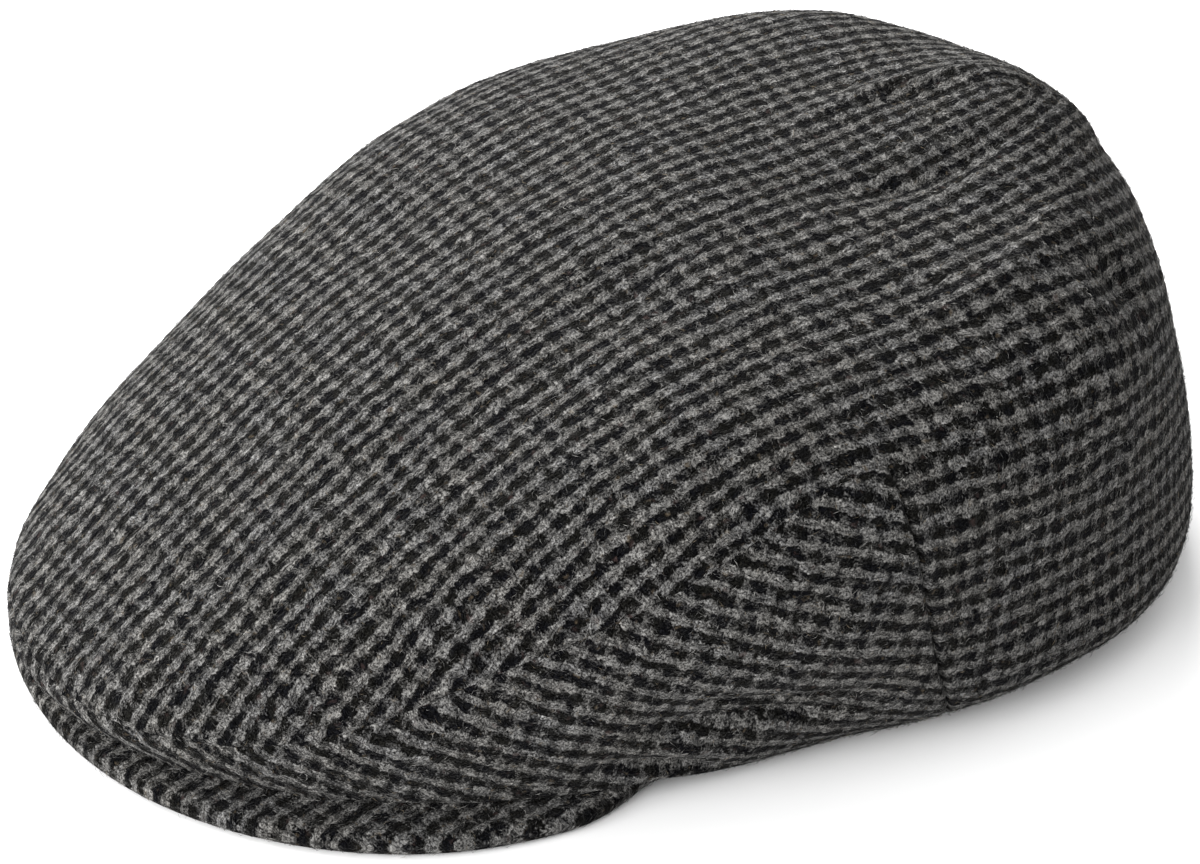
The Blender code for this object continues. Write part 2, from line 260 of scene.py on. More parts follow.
def near_lines(points: Array, lines: list[Array], reach: float) -> Array:
    """Distance of each point from the nearest of some lines, where one is near.

    Args:
        points: the points, one row each.
        lines: lines of points.
        reach: how near a line has to be to count.

    Returns:
        One distance for each point, endless where no line is near.
    """
    nearest = np.full(len(points), np.inf)
    for line in lines:
        near = ((points > line.min(0) - reach) & (points < line.max(0) + reach)).all(1)
        if near.any():
            nearest[near] = np.minimum(nearest[near], line_distance(points[near], line))
    return nearest


@dataclass
class Band:
    """One grid of the skin, columns by rows, in angles from the front and section levels."""

    angles: Array
    levels: Array
    shares: Array
    rises: Array

    def mirrored(self, hand: int) -> Band:
        """The same band on a hand's side of the cap."""
        return Band(hand * self.angles, self.levels, self.shares, self.rises)

    def read(self, coarse: Band, values: Array) -> Array:
        """Values at this band's places, from those at a coarser copy of it.

        Args:
            coarse: the same band with fewer columns and rows.
            values: one row of values for each of the coarse band's places.

        Returns:
            The values at this band's places, columns by rows.
        """
        across = np.clip(np.searchsorted(coarse.shares, self.shares, side="right") - 1,
                         0, len(coarse.shares) - 2)
        up = np.clip(np.searchsorted(coarse.rises, self.rises, side="right") - 1,
                     0, len(coarse.rises) - 2)
        run = (self.shares - coarse.shares[across]) / np.diff(coarse.shares)[across]
        lift = (self.rises - coarse.rises[up]) / np.diff(coarse.rises)[up]
        run, lift = run[:, None, None], lift[None, :, None]
        corner = values[across][:, up]
        beside = values[across + 1][:, up]
        above = values[across][:, up + 1]
        past = values[across + 1][:, up + 1]
        return ((1 - run) * ((1 - lift) * corner + lift * above)
                + run * ((1 - lift) * beside + lift * past))


@dataclass(frozen=True)
class CapForm:
    """The cap's outer shape: its plan, sections, folds, seams and the peak under it."""

    half_width: float = 0.1015
    front_reach: float = 0.1605
    back_reach: float = 0.1068
    crown_height: float = 0.0996
    apex_height: float = 0.960
    last_level: int = 5
    peak_thickness: float = 0.0053
    peak_rise: float = 0.0116
    peak_end: float = math.radians(58)
    rise_power: float = 1.5
    seat_gap: float = 0.0003
    end_gap: float = math.radians(0.5)
    side_seam_top: float = math.radians(88)
    side_seam_foot: float = math.radians(102)
    temple_run: float = math.radians(26)
    still_level: float = 0.25
    fold_steps: int = 8
    fold_taper: float = 0.7
    fold_tip: float = 0.02
    normal_step: float = 1e-3
    grid_rounds: int = 6
    back_level: float = 2.0

    def plan_reach(self, angle: Array) -> Array:
        """Reach of the plan's ellipse from the crown's middle, at angles from the front.

        Args:
            angle: angles from the front.

        Returns:
            One reach for each angle.
        """
        ahead = np.where(np.cos(angle) > 0, self.front_reach, self.back_reach)
        return 1 / np.sqrt((np.sin(angle) / self.half_width) ** 2
                           + (np.cos(angle) / ahead) ** 2)

    def peak_section(self, angle: Array) -> tuple[Array, Array, Array]:
        """Edge reach, root reach and rise of the peak, at angles from the front.

        Args:
            angle: angles from the front.

        Returns:
            One edge reach, root reach and rise for each angle.
        """
        table = np.array(PEAK_SECTIONS)
        row = cubic(table[:, 0], table[:, 1:], np.abs(angle) / self.peak_end)
        reach = self.plan_reach(angle)
        return row[:, 0] * reach, row[:, 1] * reach, np.maximum(row[:, 2], 0) * self.peak_rise

    def peak_under(self, angle: Array, reach: Array) -> Array:
        """Height of the peak's underside at a reach from the crown's middle.

        Args:
            angle: angles from the front.
            reach: reaches from the crown's middle.

        Returns:
            One height for each place.
        """
        edge, root, rise = self.peak_section(angle)
        inward = np.clip((edge - reach) / (edge - root), 0, 1)
        return rise * inward ** self.rise_power

    def rim_height(self, angle: Array, reach: Array) -> Array:
        """Height of the rim: on the peak in front, and down on the floor behind it.

        Args:
            angle: angles from the front.
            reach: reaches from the crown's middle.

        Returns:
            One height for each place.
        """
        away = np.clip((np.abs(angle) - self.peak_end - self.end_gap) / self.temple_run, 0, 1)
        on_peak = self.peak_under(np.minimum(np.abs(angle), self.peak_end), reach)
        return (1 - away) ** 2 * (on_peak + self.peak_thickness + self.seat_gap)

    def base_skin(self, angle: Array, level: Array) -> Array:
        """Points of the crown's plain skin at angles from the front and section levels.

        Args:
            angle: angles from the front.
            level: section levels.

        Returns:
            One point for each place.
        """
        table = np.array(SECTIONS)
        turn = np.abs(angle)
        row = cubic(np.radians(table[:, 0]), table[:, 1:], turn)
        reach = self.plan_reach(turn)
        points = np.zeros((len(turn), self.last_level + 1, 3))
        reaches = row[:, [0, 1, 3, 5, 7]] * reach[:, None]
        points[:, :self.last_level, 0] = reaches * np.sin(turn)[:, None]
        points[:, :self.last_level, 1] = -reaches * np.cos(turn)[:, None]
        points[:, 0, 2] = self.rim_height(turn, reaches[:, 0])
        points[:, 1:self.last_level, 2] = row[:, [2, 4, 6, 8]] * self.crown_height
        points[:, self.last_level] = 0, 0, self.apex_height * self.crown_height
        last = (points[:, self.last_level] - points[:, self.last_level - 1])
        place = self.section_spline(points, last * np.array([1, 1, 0]), level)
        place[:, 0] *= np.where(angle < 0, -1, 1)
        return place

    @staticmethod
    def section_spline(points: Array, last_slope: Array, level: Array) -> Array:
        """Cubic spline through each section's own points, read at one level in each.

        Args:
            points: the points of each section, one row for each section.
            last_slope: how each section runs at its last point.
            level: the level that is read in each section.

        Returns:
            One point for each section.
        """
        count = points.shape[1]
        system = np.zeros((count, count))
        target = np.zeros((count,) + points[:, 0].shape)
        step = np.diff(points, axis=1)
        for row in range(1, count - 1):
            system[row, row - 1:row + 2] = 1, 4, 1
            target[row] = 6 * (step[:, row] - step[:, row - 1])
        system[0, 0] = 1
        system[-1, -2:] = 1, 2
        target[-1] = 6 * (last_slope - step[:, -1])
        bend = np.linalg.solve(system, target.reshape(count, -1)).reshape(target.shape)
        cell = np.clip(level.astype(int), 0, count - 2)
        after = (level - cell)[:, None]
        before = 1 - after
        pick = np.arange(len(level))
        return (before * points[pick, cell] + after * points[pick, cell + 1]
                + ((before ** 3 - before) * bend[cell, pick]
                   + (after ** 3 - after) * bend[cell + 1, pick]) / 6)

    def normal(self, angle: Array, level: Array) -> Array:
        """Outward unit normals of the plain skin.

        Args:
            angle: angles from the front.
            level: section levels.

        Returns:
            One unit vector for each place.
        """
        step = self.normal_step
        level = np.clip(level, step, self.last_level - step)
        along = self.base_skin(angle + step, level) - self.base_skin(angle - step, level)
        upward = self.base_skin(angle, level + step) - self.base_skin(angle, level - step)
        normal = np.cross(along, upward)
        return normal / np.linalg.norm(normal, axis=1)[:, None]

    def fold_depth(self, place: Array, folds: tuple) -> Array:
        """Inward depth of folds at points of the plain skin.

        Args:
            place: points of the plain skin.
            folds: rows of a table of folds.

        Returns:
            One depth for each point.
        """
        depth = np.zeros(len(place))
        for side, angle_from, level_from, angle_to, level_to, deep, wide in folds:
            for hand in (1, -1):
                if side == -hand:
                    continue
                turns = hand * np.radians(np.linspace(angle_from, angle_to,
                                                      self.fold_steps + 1))
                levels = np.linspace(level_from, level_to, self.fold_steps + 1)
                line = self.base_skin(turns, levels)
                start, run = line[:-1], np.diff(line, axis=0)
                share = ((place[:, None] - start) * run).sum(2) / (run ** 2).sum(1)
                share = np.clip(share, 0, 1)
                away = np.linalg.norm(place[:, None] - start - share[..., None] * run, axis=2)
                nearest = away.argmin(1)
                pick = np.arange(len(place))
                along = (nearest + share[pick, nearest]) / len(run)
                along = np.clip(along, self.fold_tip, 1 - self.fold_tip)
                taper = np.sin(math.pi * along) ** self.fold_taper
                reach = away[pick, nearest] / (wide * self.crown_height)
                depth += deep * self.crown_height * taper * np.exp(-reach ** 2)
        return depth

    def dressed_skin(self, angle: Array, level: Array) -> tuple[Array, Array]:
        """Points of the folded and creased skin, and the plain skin's normals there.

        Args:
            angle: angles from the front.
            level: section levels.

        Returns:
            One point and one unit vector for each place.
        """
        place = self.base_skin(angle, level)
        normal = self.normal(angle, level)
        depth = self.fold_depth(place, FOLDS + CREASES) * ease(level / self.still_level)
        return place - depth[:, None] * normal, normal

    def front_seam_level(self, angle: Array) -> Array:
        """Level of the front seam at an angle; it stays level behind the side seam.

        Args:
            angle: angles from the front.

        Returns:
            One level for each angle.
        """
        table = np.array(FRONT_SEAM)
        turn = np.minimum(np.abs(angle), self.side_seam_top)
        return cubic(np.radians(table[:, 0]), table[:, 1], turn)

    def side_seam_angle(self, level: Array) -> Array:
        """Angle of the side seam at a level: it leans back from its top to its foot."""
        share = np.clip(level / self.corner_level(), 0, 1)
        return self.side_seam_foot + (self.side_seam_top - self.side_seam_foot) * share

    def corner_level(self) -> float:
        """Level where the front seam meets the side seam."""
        return float(self.front_seam_level(np.array([self.side_seam_top]))[0])

    def band(self, angle_from: Edge, angle_to: Edge, shares: Array, rises: Array,
             low: Edge, high: Edge) -> Band:
        """Grid of the skin between two edges and two levels.

        Args:
            angle_from: gives the band's first edge at a level.
            angle_to: gives the band's last edge at a level.
            shares: where the columns stand between the edges.
            rises: where the rows stand between the levels.
            low: gives the band's lower level at an angle.
            high: gives the band's upper level at an angle.

        Returns:
            The band, columns by rows.
        """
        angles = np.zeros((len(shares), len(rises)))
        levels = np.zeros((len(shares), len(rises)))
        for row, rise in enumerate(rises):
            guess = np.zeros(len(shares))
            for _ in range(self.grid_rounds):
                begin, end = angle_from(guess), angle_to(guess)
                turn = begin + (end - begin) * shares
                guess = low(turn) + (high(turn) - low(turn)) * rise
            angles[:, row], levels[:, row] = turn, guess
        return Band(angles, levels, shares, rises)

    def front_seam_line(self, count: int = 240) -> Array:
        """Points of the front seam on the left half of the cap."""
        turn = np.linspace(0, self.side_seam_top, count)
        return self.dressed_skin(turn, self.front_seam_level(turn))[0]

    def side_seam_line(self, count: int = 120) -> Array:
        """Points of the left side seam from the rim to its top."""
        level = np.linspace(0, self.corner_level(), count)
        return self.dressed_skin(self.side_seam_angle(level), level)[0]

    def back_line(self, top: float, count: int = 120) -> Array:
        """Points down the middle of the back from a level to the rim."""
        return self.dressed_skin(np.full(count, math.pi), np.linspace(top, 0, count))[0]

    def middle(self, back_edge: float, count: int = 200) -> float:
        """How far the crown's middle stands from the frame's middle along Y.

        Args:
            back_edge: where the crown ends at the back in the frame.
            count: how many places of the back are looked at.

        Returns:
            The distance that puts the back of the skin there.
        """
        levels = np.linspace(0, self.back_level, count)
        back = self.dressed_skin(np.full(count, math.pi), levels)[0]
        return back_edge - float(back[:, 1].max())

    def rim_line(self, angle_from: float, angle_to: float, count: int = 200) -> Array:
        """Points of the rim between two angles on the left half of the cap."""
        turn = np.linspace(angle_from, angle_to, count)
        return self.dressed_skin(turn, np.zeros(count))[0]


@dataclass
class FlatCut:
    """Lays a panel's curved skin flat, as it was cut, so that its weave runs true."""

    rounds: int = 120
    slack: float = 0.02
    guide_strength: float = 0.3
    guide_from: float = math.radians(80)
    guide_run: float = math.radians(45)
    slit_level: float = 3.5
    slit_run: float = 0.8
    places: list[tuple[float, float]] = field(default_factory=list)
    known: dict[tuple, int] = field(default_factory=dict)
    corners: list[tuple[int, int, int]] = field(default_factory=list)
    tables: list[Array] = field(default_factory=list)

    def add(self, band: Band, hand: int, apex: int) -> None:
        """Take in a coarse band, and join it to those that share its places.

        Args:
            band: the band on its own side.
            hand: 1 for the left and -1 for the right.
            apex: the level where all places are one.
        """
        table = np.zeros(band.angles.shape, int)
        for spot in np.ndindex(table.shape):
            turn, level = band.angles[spot], band.levels[spot]
            if abs(abs(turn) - math.pi) < TINY and level > self.slit_level:
                turn = math.pi
            key = ("apex",) if level > apex - TINY else (round(turn, 6), round(level, 6))
            if key not in self.known:
                self.known[key] = len(self.places)
                self.places.append((turn, level))
            table[spot] = self.known[key]
        for column in range(table.shape[0] - 1):
            for row in range(table.shape[1] - 1):
                one, two = table[column, row], table[column + 1, row]
                three, four = table[column + 1, row + 1], table[column, row + 1]
                for trio in ((one, two, three), (one, three, four)):
                    if len(set(trio)) == 3:
                        self.corners.append(trio[::hand])
        self.tables.append(table)

    def lay(self, form: CapForm, start: Callable[[Array, Array, Array], Array],
            guided: bool) -> list[Array]:
        """Flatten what was taken in, with as little stretch as may be.

        Args:
            form: the cap's shape.
            start: gives a first flat place from angles, levels and points.
            guided: whether the rows are led round the back.

        Returns:
            The flat places of each band, in metres, columns by rows.
        """
        angle, level = np.array(self.places).T
        points = form.base_skin(angle, level)
        triangles = np.array(self.corners)
        corner = points[triangles]
        ab, ac = corner[:, 1] - corner[:, 0], corner[:, 2] - corner[:, 0]
        length = np.linalg.norm(ab, axis=1)
        along = ab / length[:, None]
        normal = np.cross(ab, ac)
        area = np.linalg.norm(normal, axis=1)
        normal /= area[:, None]
        across = np.cross(normal, along)
        local = np.zeros((len(triangles), 3, 2))
        local[:, 1, 0] = length
        local[:, 2, 0], local[:, 2, 1] = (ac * along).sum(1), (ac * across).sum(1)
        after, before = [1, 2, 0], [2, 0, 1]
        spread = ((local[:, after] - local) * (local[:, before] - local)).sum(2)
        weight = np.maximum((spread / area[:, None])[:, before], self.slack) / 2
        edge = local - local[:, after]
        one, two = triangles, triangles[:, after]
        system = np.zeros((len(points), len(points)))
        np.add.at(system, (one, one), weight)
        np.add.at(system, (two, two), weight)
        np.add.at(system, (one, two), -weight)
        np.add.at(system, (two, one), -weight)
        system[0, 0] += 1
        inverse = np.linalg.inv(system)
        flat = start(angle, level, points)
        middle_turn = np.abs(angle[triangles]).mean(1)
        middle_level = level[triangles].mean(1)
        hold = (self.guide_strength * float(guided)
                * ease((middle_turn - self.guide_from) / self.guide_run)
                * ease((self.slit_level - middle_level) / self.slit_run))
        lead = np.array([0.0, 1.0, 0.0]) - normal[:, 1:2] * normal
        wanted = math.pi / 2 - np.arctan2((lead * across).sum(1), (lead * along).sum(1))
        for _ in range(self.rounds):
            side = flat[one] - flat[two]
            cover = np.einsum("tk,tka,tkb->tab", weight, side, edge)
            turn = np.arctan2(cover[:, 1, 0] - cover[:, 0, 1],
                              cover[:, 0, 0] + cover[:, 1, 1])
            turn += hold * ((wanted - turn + math.pi) % (2 * math.pi) - math.pi)
            cos, sin = np.cos(turn)[:, None], np.sin(turn)[:, None]
            pull = np.zeros((len(points), 2))
            want = weight[..., None] * np.stack(
                (cos * edge[..., 0] - sin * edge[..., 1],
                 sin * edge[..., 0] + cos * edge[..., 1]), -1)
            np.add.at(pull, one, want)
            np.add.at(pull, two, -want)
            pull[0] += flat[0]
            flat = inverse @ pull
        return [flat[table] for table in self.tables]


def turned_flat(flat: Array, grain: float) -> Array:
    """Flat places in the cloth's own directions, with the small waver of woven rows.

    Args:
        flat: flat places of a panel.
        grain: direction of the cloth's rows on the flat panel.

    Returns:
        Places along and across the cloth's rows.
    """
    cos, sin = math.cos(grain), math.sin(grain)
    along = flat[..., 0] * cos + flat[..., 1] * sin
    across = flat[..., 1] * cos - flat[..., 0] * sin
    for reach, length, turn in WAVERS:
        wave = reach * np.sin(2 * math.pi * (along * math.cos(turn) + across * math.sin(turn))
                              / length + WAVE_START * turn)
        push = WAVE_PUSH * turn
        along, across = along + wave * math.sin(push), across + wave * math.cos(push)
    return np.stack((along, across), -1)


class Workbench:
    """Blender's own tools, used in one fixed way on the cap's pieces."""

    sharp_angle: float = math.radians(60)

    @staticmethod
    def deselect() -> None:
        """Leave object mode with nothing selected."""
        if bpy.context.object and bpy.context.object.mode != "OBJECT":
            bpy.ops.object.mode_set(mode="OBJECT")
        bpy.ops.object.select_all(action="DESELECT")

    @classmethod
    def pick(cls, items: list[bpy.types.Object]) -> None:
        """Select only these objects, the first of them active.

        Args:
            items: the objects.
        """
        cls.deselect()
        for item in items:
            item.select_set(True)
        bpy.context.view_layer.objects.active = items[0]

    @classmethod
    def sheet(cls, name: str, points: Array, flat: Array) -> bpy.types.Object:
        """Grid of cloth, shaped to its points, with its flat cut as a UV map.

        Args:
            name: the object's name.
            points: columns by rows of points.
            flat: columns by rows of flat places.

        Returns:
            The new object.
        """
        cls.deselect()
        columns, rows = points.shape[0] - 1, points.shape[1] - 1
        bpy.ops.mesh.primitive_grid_add(x_subdivisions=columns, y_subdivisions=rows,
                                        size=2.0, calc_uvs=False, location=(0, 0, 0))
        item = bpy.context.object
        item.name = item.data.name = name
        mesh = item.data
        spots = np.zeros(len(mesh.vertices) * 3)
        mesh.vertices.foreach_get("co", spots)
        spots = spots.reshape(-1, 3)
        column = np.rint((spots[:, 0] + 1) / 2 * columns).astype(int)
        row = np.rint((spots[:, 1] + 1) / 2 * rows).astype(int)
        mesh.vertices.foreach_set("co", points[column, row].ravel())
        cloth = mesh.uv_layers.new(name="cloth")
        corner = np.zeros(len(mesh.loops), int)
        mesh.loops.foreach_get("vertex_index", corner)
        cloth.data.foreach_set("uv", flat[column, row][corner].ravel())
        mesh.update()
        return item

    @classmethod
    def sew(cls, name: str, pieces: list[bpy.types.Object],
            outward: tuple[float, float, float]) -> bpy.types.Object:
        """Join grids into one sheet, with their shared edges merged and faces outward.

        Args:
            name: the sheet's name.
            pieces: the grids.
            outward: a direction that the sheet's faces lean to on the whole.

        Returns:
            The joined object.
        """
        cls.pick(pieces)
        if len(pieces) > 1:
            bpy.ops.object.join()
        item = bpy.context.object
        item.name = item.data.name = name
        bpy.ops.object.mode_set(mode="EDIT")
        bpy.ops.mesh.select_all(action="SELECT")
        bpy.ops.mesh.remove_doubles(threshold=COLLAPSE)
        bpy.ops.mesh.normals_make_consistent(inside=False)
        bpy.ops.object.mode_set(mode="OBJECT")
        lean = sum((face.normal * face.area for face in item.data.polygons),
                   start=item.data.polygons[0].normal * 0)
        if lean.dot(outward) < 0:
            bpy.ops.object.mode_set(mode="EDIT")
            bpy.ops.mesh.select_all(action="SELECT")
            bpy.ops.mesh.flip_normals()
            bpy.ops.object.mode_set(mode="OBJECT")
        return item

    @classmethod
    def apply(cls, item: bpy.types.Object, modifier: bpy.types.Modifier) -> None:
        """Apply one modifier of an object."""
        cls.pick([item])
        bpy.ops.object.modifier_apply(modifier=modifier.name)

    @classmethod
    def ripple(cls, item: bpy.types.Object, size: float, depth: float) -> None:
        """Give cloth a soft unevenness.

        Args:
            item: the sheet.
            size: how wide the unevenness is.
            depth: how deep it is from its lowest to its highest.
        """
        clouds = bpy.data.textures.new(f"{item.name}_unevenness", "CLOUDS")
        clouds.noise_scale = size
        clouds.noise_depth = 1
        modifier = item.modifiers.new("unevenness", "DISPLACE")
        modifier.texture = clouds
        modifier.texture_coords = "LOCAL"
        modifier.mid_level = 0.5
        modifier.strength = depth
        cls.apply(item, modifier)

    @classmethod
    def thicken(cls, item: bpy.types.Object, wall: float) -> None:
        """Give a sheet its wall, inward from its face.

        Args:
            item: the sheet.
            wall: how thick its wall is.
        """
        item["outer_points"] = len(item.data.vertices)
        modifier = item.modifiers.new("wall", "SOLIDIFY")
        modifier.thickness = wall
        modifier.offset = -1.0
        modifier.use_rim = True
        modifier.use_quality_normals = True
        cls.apply(item, modifier)

    @staticmethod
    def points(item: bpy.types.Object) -> Array:
        """An object's points, one row each.

        Args:
            item: the object.

        Returns:
            Its points.
        """
        spots = np.zeros(len(item.data.vertices) * 3)
        item.data.vertices.foreach_get("co", spots)
        return spots.reshape(-1, 3)

    @classmethod
    def finish(cls, item: bpy.types.Object, material: bpy.types.Material) -> None:
        """Shade a piece smooth except at its sharp edges, and give it its material.

        Args:
            item: the piece.
            material: its material.
        """
        item.data.materials.clear()
        item.data.materials.append(material)
        cls.pick([item])
        bpy.ops.object.shade_smooth_by_angle(angle=cls.sharp_angle)


class Nodes:
    """Adds nodes to one material and joins them."""

    def __init__(self, name: str) -> None:
        """Start a material with its surface shader.

        Args:
            name: the material's name.
        """
        self.material = bpy.data.materials.new(name)
        self.material.use_nodes = True
        self.tree = self.material.node_tree
        self.shader = self.tree.nodes["Principled BSDF"]

    def add(self, kind: str, **settings: object) -> bpy.types.Node:
        """New node of a kind, with its settings.

        Args:
            kind: the node's type in Blender.
            settings: the node's settings by name.

        Returns:
            The new node.
        """
        node = self.tree.nodes.new(kind)
        for key, value in settings.items():
            setattr(node, key, value)
        return node

    def join(self, source: Value, target: bpy.types.NodeSocket) -> None:
        """Feed a socket from another, or set it to a number or colour.

        Args:
            source: the socket, number or colour.
            target: the socket that takes it.
        """
        if isinstance(source, bpy.types.NodeSocket):
            self.tree.links.new(source, target)
        else:
            target.default_value = source

    def math(self, operation: str, *values: Value, clamp: bool = False
             ) -> bpy.types.NodeSocket:
        """Result of one math operation on sockets or numbers.

        Args:
            operation: the operation's name in Blender.
            values: what it works on.
            clamp: whether the result is held between 0 and 1.

        Returns:
            The socket of the result.
        """
        node = self.add("ShaderNodeMath", operation=operation, use_clamp=clamp)
        for value, target in zip(values, node.inputs):
            self.join(value, target)
        return node.outputs[0]

    def vector(self, operation: str, *values: Value) -> bpy.types.NodeSocket:
        """Result of one vector operation on sockets or vectors.

        Args:
            operation: the operation's name in Blender.
            values: what it works on.

        Returns:
            The socket of the result.
        """
        node = self.add("ShaderNodeVectorMath", operation=operation)
        for value, target in zip(values, node.inputs):
            self.join(value, target)
        return node.outputs[0]

    def scaled(self, value: bpy.types.NodeSocket, scale: Value) -> bpy.types.NodeSocket:
        """A vector or colour times a number.

        Args:
            value: the vector or colour.
            scale: the number.

        Returns:
            The socket of the result.
        """
        node = self.add("ShaderNodeVectorMath", operation="SCALE")
        self.join(value, node.inputs[0])
        self.join(scale, node.inputs["Scale"])
        return node.outputs[0]

    def mixed(self, share: Value, first: Value, second: Value) -> bpy.types.NodeSocket:
        """Mix of two values.

        Args:
            share: how much of the second there is.
            first: the first value.
            second: the second value.

        Returns:
            The socket of the result.
        """
        node = self.add("ShaderNodeMix", data_type="FLOAT")
        for place, value in ((0, share), (2, first), (3, second)):
            self.join(value, node.inputs[place])
        return node.outputs[0]

    def split(self, value: bpy.types.NodeSocket) -> tuple:
        """The three values of a vector.

        Args:
            value: the vector.

        Returns:
            Three sockets.
        """
        node = self.add("ShaderNodeSeparateXYZ")
        self.join(value, node.inputs[0])
        return tuple(node.outputs)

    def noise(self, vector: bpy.types.NodeSocket, scale: float, detail: float = 1.0,
              colour: bool = False) -> bpy.types.NodeSocket:
        """Soft noise from 0 to 1 at a place, or three of them as a colour.

        Args:
            vector: the place.
            scale: how fine the noise is.
            detail: how many finer layers it has.
            colour: whether it gives three values.

        Returns:
            The socket of the result.
        """
        node = self.add("ShaderNodeTexNoise")
        self.join(vector, node.inputs["Vector"])
        node.inputs["Scale"].default_value = scale
        node.inputs["Detail"].default_value = detail
        return node.outputs["Color" if colour else "Fac"]

    def spread(self, value: bpy.types.NodeSocket, low: float, high: float,
               to_low: float = 0.0, to_high: float = 1.0) -> bpy.types.NodeSocket:
        """A value moved from one range to another, and held inside it.

        Args:
            value: the value.
            low: where its range starts.
            high: where its range ends.
            to_low: what the start becomes.
            to_high: what the end becomes.

        Returns:
            The socket of the result.
        """
        node = self.add("ShaderNodeMapRange", clamp=True)
        for place, number in zip((0, 1, 2, 3, 4), (value, low, high, to_low, to_high)):
            self.join(number, node.inputs[place])
        return node.outputs[0]

    def blend(self, share: Value, first: Value, second: Value) -> bpy.types.NodeSocket:
        """Mix of two colours.

        Args:
            share: how much of the second there is.
            first: the first colour.
            second: the second colour.

        Returns:
            The socket of the result.
        """
        node = self.add("ShaderNodeMix", data_type="RGBA", blend_type="MIX")
        for place, value in ((0, share), (6, first), (7, second)):
            if isinstance(value, tuple):
                value = (*value, 1.0)
            self.join(value, node.inputs[place])
        return node.outputs[2]


